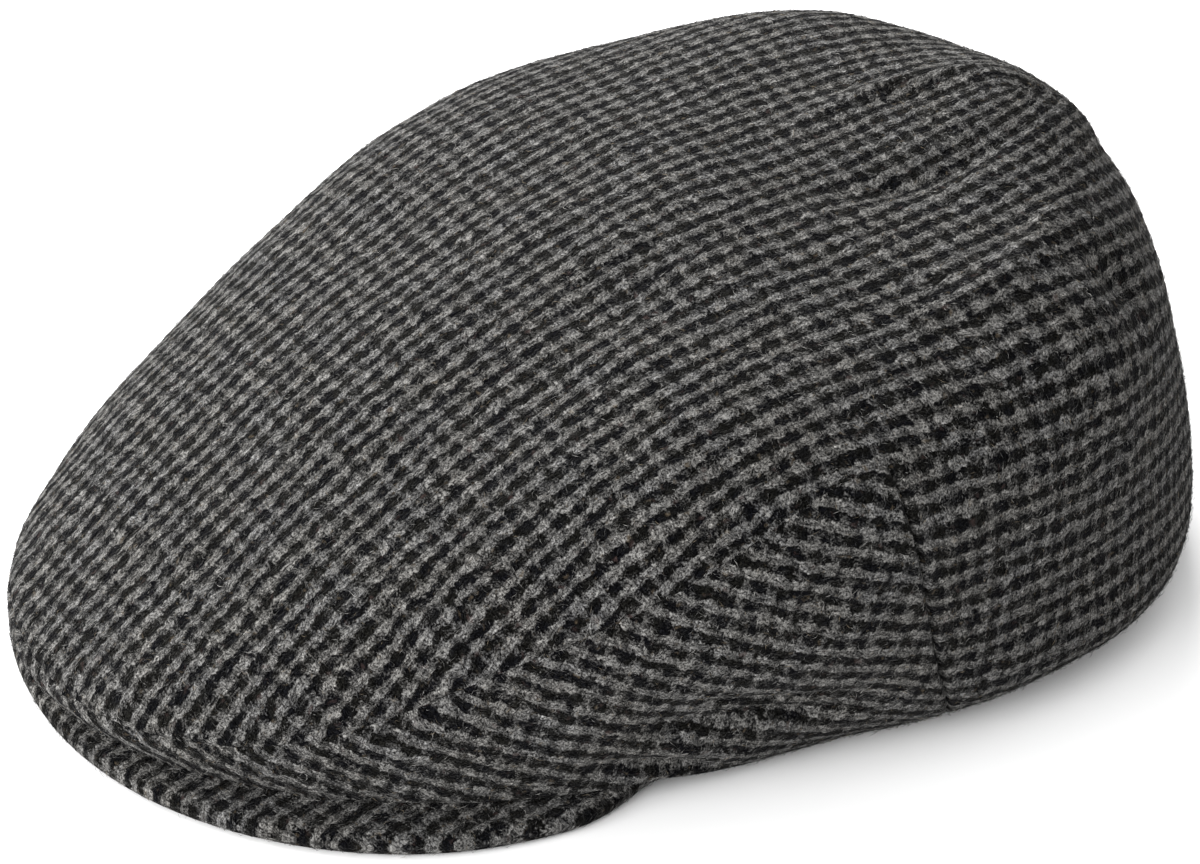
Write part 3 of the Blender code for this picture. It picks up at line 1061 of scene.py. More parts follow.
@dataclass(frozen=True)
class TweedFinish:
    """Brushed wool cloth: two dark yarns and two light ones each way, in a twill.

    Each range is read as from and to, and then as what these two become.
    """

    row_yarn: float = 0.00545 / 4
    column_yarn: float = 0.00455 / 4
    # The yarns' colours, and those of the fibres and flecks on them
    dark: tuple = (0.0018, 0.0019, 0.0025)
    olive_dark: tuple = (0.0036, 0.0035, 0.0030)
    light: tuple = (0.074, 0.0725, 0.0695)
    warm_light: tuple = (0.072, 0.068, 0.062)
    cool_light: tuple = (0.058, 0.059, 0.063)
    light_part: float = 0.55
    fibre: tuple = (0.220, 0.215, 0.205)
    # How far the yarns wander: pattern scale and reach of each wander
    wanders: tuple = ((260.0, 0.0018), (900.0, 0.0012), (2600.0, 0.00055))
    # Where the dark yarns begin and end, and how dark every other pair is
    dark_run: tuple = (-0.32, 0.24)
    weak_rows: float = 0.90
    weak_columns: float = 0.88
    # Scales of the soft patterns, and what each pattern changes
    heather_scale: float = 640.0
    heather_tone: tuple = (0.3, 0.7, 0.50, 1.55)
    grain_scale: float = 2300.0
    grain_dark: tuple = (0.3, 0.7, 0.36, -0.08)
    grain_tone: tuple = (0.36, 0.64, 0.12, 2.3)
    drift_scale: float = 75.0
    drift_run: tuple = (0.35, 0.65)
    olive_scale: float = 210.0
    olive_run: tuple = (0.4, 0.6)
    patch_scale: float = 330.0
    patch_dark: tuple = (0.35, 0.65, 0.76, 1.30)
    smudge_scale: float = 520.0
    smudge_dark: tuple = (0.52, 0.72, 0.0, 0.50)
    # How the yarns bow over each other, and the painted shade and highlight that darken their
    # colour in the dips and lighten it on the crests
    row_bow: tuple = (0.0, 0.9, 0.2, 1.0)
    column_bow: tuple = (0.0, 0.9, 0.2, 0.8)
    bow_painted_shading: tuple = (0.0, 0.9, 0.42, 1.42)
    # Fine streaks of fibre: direction, seed and stretch
    streaks: tuple = ((0.35, 0.0, 6.0), (1.35, 11.0, 5.0), (2.05, 23.0, 7.0), (2.75, 31.0, 5.0))
    streak_scale: float = 3000.0
    streak_run: tuple = (0.60, 0.74)
    streak_veil: tuple = (0.0, 1.0, 0.01, 0.82)
    # Flecks: colour, seed and scale
    flecks: tuple = (((0.110, 0.086, 0.058), 3.0, 620.0), ((0.058, 0.038, 0.035), 7.0, 480.0))
    fleck_run: tuple = (0.74, 0.86, 0.0, 0.40)
    # Relief in shares of its depth
    bow_relief: float = 0.55
    streak_relief: float = 0.22
    grain_relief: float = 0.45
    block_relief: float = 1.0
    row_relief: float = 0.25
    relief_depth: float = 0.00078
    roughness: float = 0.95
    gloss: float = 0.012
    sheen: float = 0.040
    sheen_roughness: float = 0.24
    sheen_tint: tuple = (0.95, 0.93, 0.9)

    def material(self, name: str) -> bpy.types.Material:
        """Material of the woven cloth, which reads the flat cut's map.

        Args:
            name: the material's name.

        Returns:
            The material.
        """
        nodes = Nodes(name)
        cut = nodes.add("ShaderNodeUVMap", uv_map="cloth").outputs[0]
        place = self.wandered(nodes, cut)
        along, across, _ = nodes.split(place)
        column = nodes.math("DIVIDE", along, self.row_yarn)
        row = nodes.math("DIVIDE", across, self.column_yarn)
        row_dark = self.pairs(nodes, row, self.weak_rows)
        column_dark = self.pairs(nodes, column, self.weak_columns)
        row_over = nodes.math("LESS_THAN", nodes.math("FLOORED_MODULO", nodes.math(
            "ADD", nodes.math("FLOOR", row), nodes.math("FLOOR", column)), 4.0), 1.5)
        block = nodes.math("MULTIPLY", row_dark, column_dark)
        grain = nodes.noise(cut, self.grain_scale, 2.0)
        dark_share = self.dark_share(nodes, block, row_dark, column_dark, row_over)
        dark_share = self.uneven(nodes, cut, place, grain, dark_share)
        height = self.bowed(nodes, row, column, row_over)
        hair = self.hair(nodes, place)
        woven = self.yarns(nodes, cut, dark_share)
        # Painted shade and highlight: the colour is darkened where the yarns dip low and
        # lightened on their crests, times a random fine grain of tone
        shade = nodes.math("MULTIPLY", nodes.spread(height, *self.bow_painted_shading),
                           nodes.spread(grain, *self.grain_tone))
        woven = nodes.scaled(woven, shade)
        veil = nodes.spread(nodes.math("SUBTRACT", 1.0, dark_share), *self.streak_veil)
        woven = nodes.blend(nodes.math("MULTIPLY", hair, veil), woven, self.fibre)
        for tint, seed, scale in self.flecks:
            fleck = nodes.noise(nodes.vector("ADD", place, (seed, 0.0, 0.0)), scale, 0.0)
            woven = nodes.blend(nodes.spread(fleck, *self.fleck_run), woven, tint)
        nodes.join(woven, nodes.shader.inputs["Base Color"])
        self.raise_relief(nodes, (
            (height, self.bow_relief), (hair, self.streak_relief), (grain, self.grain_relief),
            (block, -self.block_relief), (row_dark, -self.row_relief)))
        for socket, value in (("Roughness", self.roughness), ("Specular IOR Level", self.gloss),
                              ("Sheen Weight", self.sheen),
                              ("Sheen Roughness", self.sheen_roughness),
                              ("Sheen Tint", (*self.sheen_tint, 1.0))):
            nodes.shader.inputs[socket].default_value = value
        return nodes.material

    def raise_relief(self, nodes: Nodes, layers: tuple) -> None:
        """Raise the cloth's face by a sum of patterns.

        Args:
            nodes: the material's nodes.
            layers: each pattern with its share of the relief.
        """
        relief = nodes.math("MULTIPLY", *layers[0])
        for layer in layers[1:]:
            relief = nodes.math("ADD", relief, nodes.math("MULTIPLY", *layer))
        bump = nodes.add("ShaderNodeBump")
        bump.inputs["Strength"].default_value = 1.0
        bump.inputs["Distance"].default_value = self.relief_depth
        nodes.join(relief, bump.inputs["Height"])
        nodes.join(bump.outputs[0], nodes.shader.inputs["Normal"])

    def wandered(self, nodes: Nodes, cut: bpy.types.NodeSocket) -> bpy.types.NodeSocket:
        """Places on the flat cut, moved as loosely woven yarns wander.

        Args:
            nodes: the material's nodes.
            cut: places on the flat cut.

        Returns:
            The moved places.
        """
        place = cut
        for scale, reach in self.wanders:
            wander = nodes.noise(cut, scale, 0.0, colour=True)
            shift = nodes.scaled(nodes.vector("SUBTRACT", wander, (0.5, 0.5, 0.5)), reach)
            place = nodes.vector("ADD", place, shift)
        return place

    def pairs(self, nodes: Nodes, yarns: bpy.types.NodeSocket, weak: float
              ) -> bpy.types.NodeSocket:
        """How dark the yarns of one direction are, two of every four of them.

        Args:
            nodes: the material's nodes.
            yarns: places counted in yarns.
            weak: how dark every other pair is.

        Returns:
            A share from 0 to 1.
        """
        wave = nodes.math("SINE", nodes.math("MULTIPLY", yarns, math.pi / 2))
        turn = nodes.math("LESS_THAN", nodes.math("FRACT", nodes.math(
            "DIVIDE", yarns, 8.0)), 0.5)
        return nodes.math("MULTIPLY", nodes.spread(wave, *self.dark_run),
                          nodes.mixed(turn, weak, 1.0))

    @staticmethod
    def dark_share(nodes: Nodes, block: Value, row_dark: Value, column_dark: Value,
                   row_over: Value) -> bpy.types.NodeSocket:
        """How dark the weave is: most in its blocks, less where one dark yarn shows.

        Args:
            nodes: the material's nodes.
            block: how dark the crossings of dark yarns are.
            row_dark: how dark the rows are.
            column_dark: how dark the columns are.
            row_over: whether the row's yarn is on top.

        Returns:
            A share from 0 to 1.
        """
        share = block
        for dark, under, over in ((row_dark, *ROW_DARKS[::-1]), (column_dark, *COLUMN_DARKS)):
            alone = nodes.math("SUBTRACT", dark, block)
            shown = nodes.mixed(row_over, under, over)
            share = nodes.math("ADD", share, nodes.math("MULTIPLY", alone, shown))
        return share

    def uneven(self, nodes: Nodes, cut: Value, place: Value, grain: Value,
               dark_share: Value) -> bpy.types.NodeSocket:
        """A dark share made uneven by patches, grain and smudges.

        Args:
            nodes: the material's nodes.
            cut: places on the flat cut.
            place: the same places, wandered.
            grain: the finest pattern.
            dark_share: the even dark share.

        Returns:
            A share from 0 to 1.
        """
        patch = nodes.spread(nodes.noise(cut, self.patch_scale), *self.patch_dark)
        share = nodes.math("ADD", nodes.math("MULTIPLY", dark_share, patch),
                           nodes.spread(grain, *self.grain_dark), clamp=True)
        smudge = nodes.spread(nodes.noise(place, self.smudge_scale), *self.smudge_dark)
        return nodes.math("ADD", share, smudge, clamp=True)

    def yarns(self, nodes: Nodes, cut: Value, dark_share: Value) -> bpy.types.NodeSocket:
        """Colour of the yarns, mixed from many dyed fibres.

        Args:
            nodes: the material's nodes.
            cut: places on the flat cut.
            dark_share: how dark the weave is.

        Returns:
            The socket of a colour.
        """
        drift = nodes.spread(nodes.noise(cut, self.drift_scale), *self.drift_run)
        tone = nodes.blend(drift, self.warm_light, self.cool_light)
        tone = nodes.blend(self.light_part, tone, self.light)
        olive = nodes.spread(nodes.noise(cut, self.olive_scale, 0.0), *self.olive_run)
        deep = nodes.blend(olive, self.dark, self.olive_dark)
        heather = nodes.noise(cut, self.heather_scale, 2.0)
        tone = nodes.scaled(tone, nodes.spread(heather, *self.heather_tone))
        return nodes.blend(dark_share, tone, deep)

    def bowed(self, nodes: Nodes, row: Value, column: Value, row_over: Value
              ) -> bpy.types.NodeSocket:
        """Height of the yarns, bowed over the yarns that they cross.

        Args:
            nodes: the material's nodes.
            row: places counted in row yarns.
            column: places counted in column yarns.
            row_over: whether the row's yarn is on top.

        Returns:
            A height from 0 to 1.
        """
        over = nodes.math("FLOORED_MODULO", nodes.math(
            "ADD", column, nodes.math("FLOOR", row)), 4.0)
        under = nodes.math("FLOORED_MODULO", nodes.math(
            "ADD", nodes.math("ADD", nodes.math("FLOOR", column), row), 2.0), 4.0)
        heights = []
        for yarns, way, bow in ((row, over, self.row_bow), (column, under, self.column_bow)):
            length = self.arch(nodes, nodes.math("MULTIPLY", way, 0.5))
            width = self.arch(nodes, nodes.math("FRACT", yarns))
            heights.append(nodes.math("MULTIPLY", width, nodes.spread(length, *bow)))
        return nodes.mixed(row_over, heights[1], heights[0])

    def hair(self, nodes: Nodes, place: Value) -> bpy.types.NodeSocket:
        """Fine streaks of fibre that lean all ways over the yarns.

        Args:
            nodes: the material's nodes.
            place: wandered places on the flat cut.

        Returns:
            A share from 0 to 1.
        """
        hair = None
        for turn, seed, stretch in self.streaks:
            spin = nodes.add("ShaderNodeVectorRotate", rotation_type="Z_AXIS")
            nodes.join(place, spin.inputs["Vector"])
            spin.inputs["Angle"].default_value = turn
            fine = nodes.vector("MULTIPLY", spin.outputs[0],
                                (self.streak_scale / stretch, self.streak_scale, 1.0))
            streak = nodes.noise(nodes.vector("ADD", fine, (seed, seed, seed)), 1.0, 0.0)
            streak = nodes.spread(streak, *self.streak_run)
            hair = streak if hair is None else nodes.math("MAXIMUM", hair, streak)
        return hair

    @staticmethod
    def arch(nodes: Nodes, share: bpy.types.NodeSocket) -> bpy.types.NodeSocket:
        """Round arch over a share from 0 to 1.

        Args:
            nodes: the material's nodes.
            share: the share.

        Returns:
            A height from 0 at both ends to 1 in the middle.
        """
        centred = nodes.math("SUBTRACT", share, 0.5)
        square = nodes.math("MULTIPLY", centred, centred)
        return nodes.math("SUBTRACT", 1.0, nodes.math("MULTIPLY", square, 4.0), clamp=True)


@dataclass(frozen=True)
class FibreFinish:
    """Loose wool fibres, each with its own tone from its mesh's colour attribute."""

    roughness: float = 0.85
    gloss: float = 0.02

    def material(self, name: str) -> bpy.types.Material:
        """Material of the fibres.

        Args:
            name: the material's name.

        Returns:
            The material.
        """
        nodes = Nodes(name)
        tone = nodes.add("ShaderNodeAttribute", attribute_name="tone")
        nodes.join(tone.outputs["Color"], nodes.shader.inputs["Base Color"])
        nodes.shader.inputs["Roughness"].default_value = self.roughness
        nodes.shader.inputs["Specular IOR Level"].default_value = self.gloss
        return nodes.material


@dataclass(frozen=True)
class FloorFinish:
    """Plain pale floor."""

    colour: tuple = (0.93, 0.93, 0.93)
    roughness: float = 0.6
    gloss: float = 0.1

    def material(self, name: str) -> bpy.types.Material:
        """Material of the floor.

        Args:
            name: the material's name.

        Returns:
            The material.
        """
        nodes = Nodes(name)
        nodes.shader.inputs["Base Color"].default_value = (*self.colour, 1.0)
        nodes.shader.inputs["Roughness"].default_value = self.roughness
        nodes.shader.inputs["Specular IOR Level"].default_value = self.gloss
        return nodes.material


@dataclass(frozen=True)
class Edging:
    """How a panel turns inward along one of its edges."""

    line: Array
    depth: float
    power: float
    reach: float = 0.0016

    def inward(self, points: Array) -> Array:
        """Inward depth at each point."""
        away = near_lines(points, [self.line], 2 * self.reach)
        return self.depth * np.clip(1 - away / self.reach, 0, 1) ** self.power


@dataclass
class ClothPanel:
    """What all cloth panels share: how a grid of skin becomes a sewn sheet."""

    form: CapForm
    wall: float = 0.002
    front_seam: tuple[float, float] = (0.00035, 2.0)
    side_seam: tuple[float, float] = (0.00150, 2.6)
    rim: tuple[float, float] = (0.00050, 2.0)
    uneven_size: float = 0.026
    uneven_depth: float = 0.0011

    def edgings(self, rim_from: float, rim_to: float, hands: list[Hand]) -> list[Edging]:
        """The panel's edges: its seams and a stretch of rim.

        Args:
            rim_from: the angle where its rim starts.
            rim_to: the angle where its rim ends.
            hands: the sides of the cap that it is on.

        Returns:
            The edges on each of those sides.
        """
        form, made = self.form, []
        for hand in hands:
            for line, kind in ((form.front_seam_line(), self.front_seam),
                               (form.side_seam_line(), self.side_seam),
                               (form.rim_line(rim_from, rim_to), self.rim)):
                made.append(Edging(line * (hand.value, 1, 1), *kind))
        return made

    def grid(self, name: str, band: Band, flat: Array, shift: float) -> bpy.types.Object:
        """One grid of the panel, in its place.

        Args:
            name: the grid's name.
            band: its angles and levels.
            flat: its flat places.
            shift: how far the crown's middle stands from the frame's middle along Y.

        Returns:
            The new object.
        """
        angle, level = band.angles.ravel(), band.levels.ravel()
        points = self.form.dressed_skin(angle, level)[0] + (0, shift, 0)
        points[:, 2] = np.maximum(points[:, 2], 0.0)
        return Workbench.sheet(name, points.reshape(*band.angles.shape, 3), flat)

    def make_up(self, item: bpy.types.Object, edges: list[Edging], shift: float,
                material: bpy.types.Material) -> None:
        """Give a sewn sheet its unevenness, its wall and its pressed edges.

        Args:
            item: the sheet.
            edges: the panel's edges.
            shift: how far the crown's middle stands from the frame's middle along Y.
            material: its cloth.
        """
        points = Workbench.points(item) - (0, shift, 0)
        inward = np.max([edge.inward(points) for edge in edges], axis=0)
        Workbench.ripple(item, self.uneven_size, self.uneven_depth)
        normals = np.zeros(len(points) * 3)
        item.data.vertex_normals.foreach_get("vector", normals)
        Workbench.thicken(item, self.wall)
        points = Workbench.points(item)
        points[:len(inward)] -= inward[:, None] * normals.reshape(-1, 3)
        points[:, 2] = np.maximum(points[:, 2], 0.0)
        item.data.vertices.foreach_set("co", points.ravel())
        item.data.update()
        Workbench.finish(item, material)


@dataclass
class TopPanel(ClothPanel):
    """Top panel: from the front seam over the crown and down the back to the rim."""

    side_columns: int = 104
    back_columns: int = 104
    high_rows: int = 80
    low_rows: int = 46
    # How close the steps are at the start and the finish of the fine bands
    behind_steps: tuple[float, float] = (0.25, 0.3)
    upper_steps: tuple[float, float] = (0.2, 1.0)
    lower_steps: tuple[float, float] = (0.3, 1.0)
    coarse_counts: tuple[int, int, int, int] = (28, 20, 14, 12)
    grain: float = math.radians(97)
    first_turn: float = 0.93
    first_spread: float = 1.15
    flat_size: tuple[float, float] = (0.342, 0.345)
    flat_area: float = 0.069

    def bands(self, side: int, back: int, high: int, low: int, even: bool) -> list[Band]:
        """The panel's three bands on the left: over the front, the back and the tail.

        Args:
            side: columns from the front to the side seam.
            back: columns from the side seam to the back.
            high: rows up to the apex.
            low: rows below the side seam's top.
            even: whether the steps are even.

        Returns:
            The bands.
        """
        form = self.form
        corner = form.corner_level()
        columns = np.linspace(0, 1, side + 1)
        behind, upper, lower = (
            np.linspace(0, 1, count + 1) if even else crowded(count, *steps)
            for count, steps in ((back, self.behind_steps), (high, self.upper_steps),
                                 (low, self.lower_steps)))
        seam, top = form.side_seam_angle, always(form.last_level)
        return [
            form.band(always(0), seam, columns, upper, form.front_seam_level, top),
            form.band(seam, always(math.pi), behind, upper, always(corner), top),
            form.band(seam, always(math.pi), behind, lower, always(0), always(corner)),
        ]

    def start(self, angle: Array, level: Array, points: Array) -> Array:
        """First flat place: round the apex, at the skin's distance from it.

        Args:
            angle: angles from the front.
            level: section levels.
            points: the skin's points there.

        Returns:
            One flat place for each point.
        """
        apex = np.array([0, 0, self.form.apex_height * self.form.crown_height])
        away = np.linalg.norm(points - apex, axis=1) * self.first_spread
        turn = angle * self.first_turn
        return np.stack((np.sin(turn), -np.cos(turn)), 1) * away[:, None]

    def build(self, shift: float, material: bpy.types.Material) -> bpy.types.Object:
        """Model the panel and dress it.

        Args:
            shift: how far the crown's middle stands from the frame's middle along Y.
            material: its cloth.

        Returns:
            The finished panel.
        """
        form = self.form
        coarse = self.bands(*self.coarse_counts, True)
        cut = FlatCut()
        for band in coarse:
            for hand in Hand:
                cut.add(band.mirrored(hand.value), hand.value, form.last_level)
        laid = cut.lay(form, self.start, True)
        fine = self.bands(self.side_columns, self.back_columns, self.high_rows,
                          self.low_rows, False)
        edges = self.edgings(form.side_seam_foot, math.pi, list(Hand))
        edges.append(Edging(form.back_line(cut.slit_level), *self.front_seam))
        pieces = []
        for number, band in enumerate(fine):
            for side, hand in enumerate(Hand):
                flat = band.read(coarse[number], laid[2 * number + side])
                pieces.append(self.grid(f"top_{number}_{side}", band.mirrored(hand.value),
                                        turned_flat(flat, self.grain), shift))
        item = Workbench.sew("tweed_top", pieces, (0, 0, 1))
        self.make_up(item, edges, shift, material)
        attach(item, "root")
        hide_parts("crown_top")
        return item


@dataclass
class SidePanel(ClothPanel):
    """Side panel: a band round the front that widens to the side seam."""

    hand: Hand = Hand.LEFT
    columns: int = 230
    rows: int = 62
    # How close the steps are at the start and the finish of the fine band
    column_steps: tuple[float, float] = (0.8, 0.35)
    row_steps: tuple[float, float] = (0.4, 0.3)
    coarse_counts: tuple[int, int] = (40, 12)
    cut_rounds: int = 900
    start_count: int = 200
    grain: float = math.radians(-23.6)
    flat_size: tuple[float, float] = (0.222, 0.087)
    flat_area: float = 0.0081

    def band(self, columns: int, rows: int, even: bool) -> Band:
        """The panel as one band on the left.

        Args:
            columns: columns from the front to the side seam.
            rows: rows from the rim to the front seam.
            even: whether the steps are even.

        Returns:
            The band.
        """
        form = self.form
        share, rise = (
            np.linspace(0, 1, count + 1) if even else crowded(count, *steps)
            for count, steps in ((columns, self.column_steps), (rows, self.row_steps)))
        return form.band(always(0), form.side_seam_angle, share, rise, always(0),
                         form.front_seam_level)

    def start(self, angle: Array, level: Array, points: Array) -> Array:
        """First flat place: unrolled round the crown.

        Args:
            angle: angles from the front.
            level: section levels.
            points: the skin's points there.

        Returns:
            One flat place for each point.
        """
        turn = np.linspace(0, self.form.side_seam_foot, self.start_count)
        line = self.form.base_skin(turn, np.ones(self.start_count))
        way = np.concatenate(([0.0], np.cumsum(np.linalg.norm(np.diff(line, axis=0), axis=1))))
        return np.stack((np.interp(angle, turn, way), points[:, 2]), 1)

    def build(self, shift: float, material: bpy.types.Material) -> bpy.types.Object:
        """Model the panel and dress it, as the top panel's build does.

        Args:
            shift: how far the crown's middle stands from the frame's middle along Y.
            material: its cloth.

        Returns:
            The finished panel.
        """
        form = self.form
        side = self.hand.name.lower()
        coarse = self.band(*self.coarse_counts, True)
        cut = FlatCut(rounds=self.cut_rounds)
        cut.add(coarse, 1, form.last_level)
        laid = cut.lay(form, self.start, False)[0]
        fine = self.band(self.columns, self.rows, False)
        flat = fine.read(coarse, laid)
        edges = self.edgings(0, form.side_seam_foot, [self.hand])
        band = fine.mirrored(self.hand.value)
        flat = turned_flat(flat, self.grain)
        flat[..., 1] *= self.hand.value
        item = Workbench.sew(f"tweed_side_{side}",
                             [self.grid(side, band, flat, shift)],
                             (self.hand.value, 0, 0))
        self.make_up(item, edges, shift, material)
        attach(item, "root")
        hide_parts(f"side_panel_{side}")
        return item


@dataclass
class Peak:
    """Peak: a cloth-covered crescent with a round outer edge."""

    form: CapForm
    columns: int = 150
    depth_rows: int = 44
    edge_rows: int = 12
    grain: float = math.radians(111)
    tuck: float = 0.0055
    tuck_from: float = 0.86

    def build(self, shift: float, material: bpy.types.Material) -> bpy.types.Object:
        """Model the peak and dress it.

        Args:
            shift: how far the crown's middle stands from the frame's middle along Y.
            material: its cloth.

        Returns:
            The finished peak.
        """
        form = self.form
        turns = np.linspace(-form.peak_end, form.peak_end, self.columns + 1)
        edge, root, _ = form.peak_section(turns)
        share = (np.abs(turns) / form.peak_end - self.tuck_from) / (1 - self.tuck_from)
        edge = edge - self.tuck * ease(share)
        radius = form.peak_thickness / 2
        inward = np.linspace(0, 1, self.depth_rows + 1)
        bend = np.linspace(math.pi / 2, -math.pi / 2, self.edge_rows + 1)[1:-1]
        rings, flats = [], []
        for turn, outside, inside in zip(turns, edge, root):
            below = outside - radius + (inside - outside + radius) * inward
            reach = np.concatenate((below[::-1], outside - radius + radius * np.cos(bend),
                                    below))
            lift = np.concatenate((np.full(len(below), form.peak_thickness),
                                   radius + radius * np.sin(bend), np.zeros(len(below))))
            height = form.peak_under(np.full(len(reach), turn), reach) + lift
            ring = np.stack((reach * math.sin(turn), -reach * math.cos(turn), height), 1)
            way = np.concatenate(([0.0], np.cumsum(np.linalg.norm(np.diff(ring, axis=0),
                                                                  axis=1))))
            far = inside + np.minimum(way, way[-1] - way)
            rings.append(ring)
            flats.append(np.stack((far * math.sin(turn), -far * math.cos(turn)), 1))
        points = np.array(rings)
        points[..., 1] += shift
        flat = turned_flat(np.array(flats), self.grain)
        item = Workbench.sheet("tweed_peak", points, flat)
        self.close_root(item)
        bpy.ops.object.mode_set(mode="EDIT")
        bpy.ops.mesh.select_all(action="SELECT")
        bpy.ops.mesh.normals_make_consistent(inside=False)
        bpy.ops.object.mode_set(mode="OBJECT")
        Workbench.finish(item, material)
        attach(item, "root")
        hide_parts("peak")
        return item

    @staticmethod
    def close_root(item: bpy.types.Object) -> None:
        """Close the peak's root and ends, whose open edges run all round.

        Args:
            item: the peak.
        """
        Workbench.pick([item])
        bpy.ops.object.mode_set(mode="EDIT")
        bpy.ops.mesh.select_mode(type="EDGE")
        bpy.ops.mesh.select_non_manifold(extend=False)
        bpy.ops.mesh.fill()
        bpy.ops.mesh.select_mode(type="VERT")
        bpy.ops.object.mode_set(mode="OBJECT")


@dataclass
class Fuzz:
    """Loose fibres of the brushed cloth: thin closed spindles, bent in the middle."""

    density: float = 0.90e6
    seam_reach: float = 0.0016
    seam_extra: float = 1.6
    seed: int = 11
    length: tuple[float, float] = (0.0006, 0.0024)
    long_share: float = 0.06
    long_scale: float = 1.7
    thickness: float = 0.000105
    thick_range: tuple[float, float] = (0.6, 1.25)
    lift: tuple[float, float] = (0.00005, 0.00026)
    foot_lift: float = 0.4
    standing_share: float = 0.16
    standing: tuple[float, float] = (0.12, 0.36)
    lying: tuple[float, float] = (-0.05, 0.12)
    bend: float = 0.16
    dark_rise: float = 0.35
    light_rise: float = 1.25
    dark_below: float = 0.05
    floor_gap: float = 0.0001
    lowest_lean: float = -0.6
    tones: tuple = ((0.128, 0.126, 0.121), (0.076, 0.075, 0.073), (0.240, 0.234, 0.223),
                    (0.150, 0.124, 0.090), (0.032, 0.032, 0.033), (0.005, 0.005, 0.006))
    light_shares: tuple = (0.32, 0.24, 0.20, 0.04, 0.12, 0.08)
    dark_shares: tuple = (0.04, 0.05, 0.02, 0.01, 0.14, 0.74)
    tone_range: tuple[float, float] = (0.7, 1.2)

    def build(self, name: str, panel: bpy.types.Object, slot: str,
              material: bpy.types.Material, seams: list[Array], side: int = 0
              ) -> bpy.types.Object:
        """Scatter fibres over a panel's outer face, closer together along its seams.

        Args:
            name: the fibres' name.
            panel: the finished panel.
            slot: not used.
            material: the fibres' material.
            seams: the cap's seams as lines of points.
            side: 1 for its left half, -1 for its right half, and 0 for all of it.

        Returns:
            The fibres as one object.
        """
        mesh = panel.data
        mesh.calc_loop_triangles()
        spots = Workbench.points(panel)
        trios = np.zeros(len(mesh.loop_triangles) * 3, int)
        mesh.loop_triangles.foreach_get("vertices", trios)
        trios = trios.reshape(-1, 3)
        outer = self.outer_faces(panel, spots, trios)
        if side:
            outer &= spots[trios].mean(1)[:, 0] * side > 0
        corners = spots[trios[outer]]
        chance = np.random.default_rng(self.seed + len(corners))
        pick, share = self.places(corners, seams, chance)
        points, tone = self.spindles(corners[pick], share, chance,
                                     self.dark_share(mesh, outer, pick, share))
        item = self.cloud(name, points, tone)
        item.data.materials.append(material)
        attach(item, "root")
        return item

    def places(self, corners: Array, seams: list[Array], chance: np.random.Generator
               ) -> tuple[Array, Array]:
        """Draw where the fibres stand.

        Args:
            corners: the corners of each outer triangle.
            seams: the cap's seams as lines of points.
            chance: the source of the draws.

        Returns:
            The triangle of each fibre, and the fibre's place in it.
        """
        one, two, three = corners.transpose(1, 0, 2)
        area = np.linalg.norm(np.cross(two - one, three - one), axis=1) / 2
        nearness = near_lines((one + two + three) / 3, seams, self.seam_reach)
        chosen = area * (1 + self.seam_extra * np.clip(1 - nearness / self.seam_reach, 0, 1))
        count = int(chosen.sum() * self.density)
        pick = chance.choice(len(corners), count, p=chosen / chosen.sum())
        share = chance.random((count, 2))
        over = share.sum(1) > 1
        share[over] = 1 - share[over]
        return pick, share

    def spindles(self, corners: Array, share: Array, chance: np.random.Generator,
                 darkness: Array) -> tuple[Array, Array]:
        """Draw the fibres' points and tones.

        Args:
            corners: the corners of each fibre's triangle.
            share: each fibre's place in its triangle.
            chance: the source of the draws.
            darkness: how dark the yarn under each fibre is.

        Returns:
            Five points for each fibre, and its colour.
        """
        count = len(corners)
        one, two, three = corners.transpose(1, 0, 2)
        root = one + share[:, :1] * (two - one) + share[:, 1:] * (three - one)
        cross = np.cross(two - one, three - one)
        normal = cross / np.linalg.norm(cross, axis=1)[:, None]
        along = np.cross(normal, chance.normal(size=(count, 3)))
        along /= np.linalg.norm(along, axis=1)[:, None]
        beside = np.cross(normal, along)
        length = chance.uniform(*self.length, count)[:, None]
        length *= np.where(chance.random((count, 1)) < self.long_share, self.long_scale, 1.0)
        low = chance.uniform(*self.lift, (count, 1)) * self.foot_lift
        high = chance.uniform(*self.lift, (count, 1))
        stand = np.where(chance.random((count, 1)) < self.standing_share,
                         chance.uniform(*self.standing, (count, 1)),
                         chance.uniform(*self.lying, (count, 1)))
        tones, dark = np.array(self.tones), chance.random(count) < darkness
        tone = np.where(dark[:, None],
                        tones[chance.choice(len(tones), count, p=self.dark_shares)],
                        tones[chance.choice(len(tones), count, p=self.light_shares)])
        # Dark fibres lie close to their yarns, and light ones rise over them
        rise = np.where(tone[:, :1] < self.dark_below, self.dark_rise, self.light_rise)
        low, high, stand = low * rise, high * rise, stand * rise
        points = np.zeros((count, 5, 3))
        points[:, 0] = root - along * length / 2 + normal * low
        points[:, 4] = root + along * length / 2 + normal * (low + stand * length)
        middle = ((points[:, 0] + points[:, 4]) / 2 + normal * high
                  + beside * length * chance.normal(0, self.bend, (count, 1)))
        middle[:, 2] = np.maximum(middle[:, 2], 2 * self.floor_gap)
        radius = self.thickness / 2 * chance.uniform(*self.thick_range, (count, 1))
        for corner in range(3):
            turn = 2 * math.pi * corner / 3
            points[:, 1 + corner] = middle + radius * (math.cos(turn) * normal
                                                       + math.sin(turn) * beside)
        points[:, ::4, 2] = np.maximum(points[:, ::4, 2], self.floor_gap)
        return points, tone * chance.uniform(*self.tone_range, (count, 1))

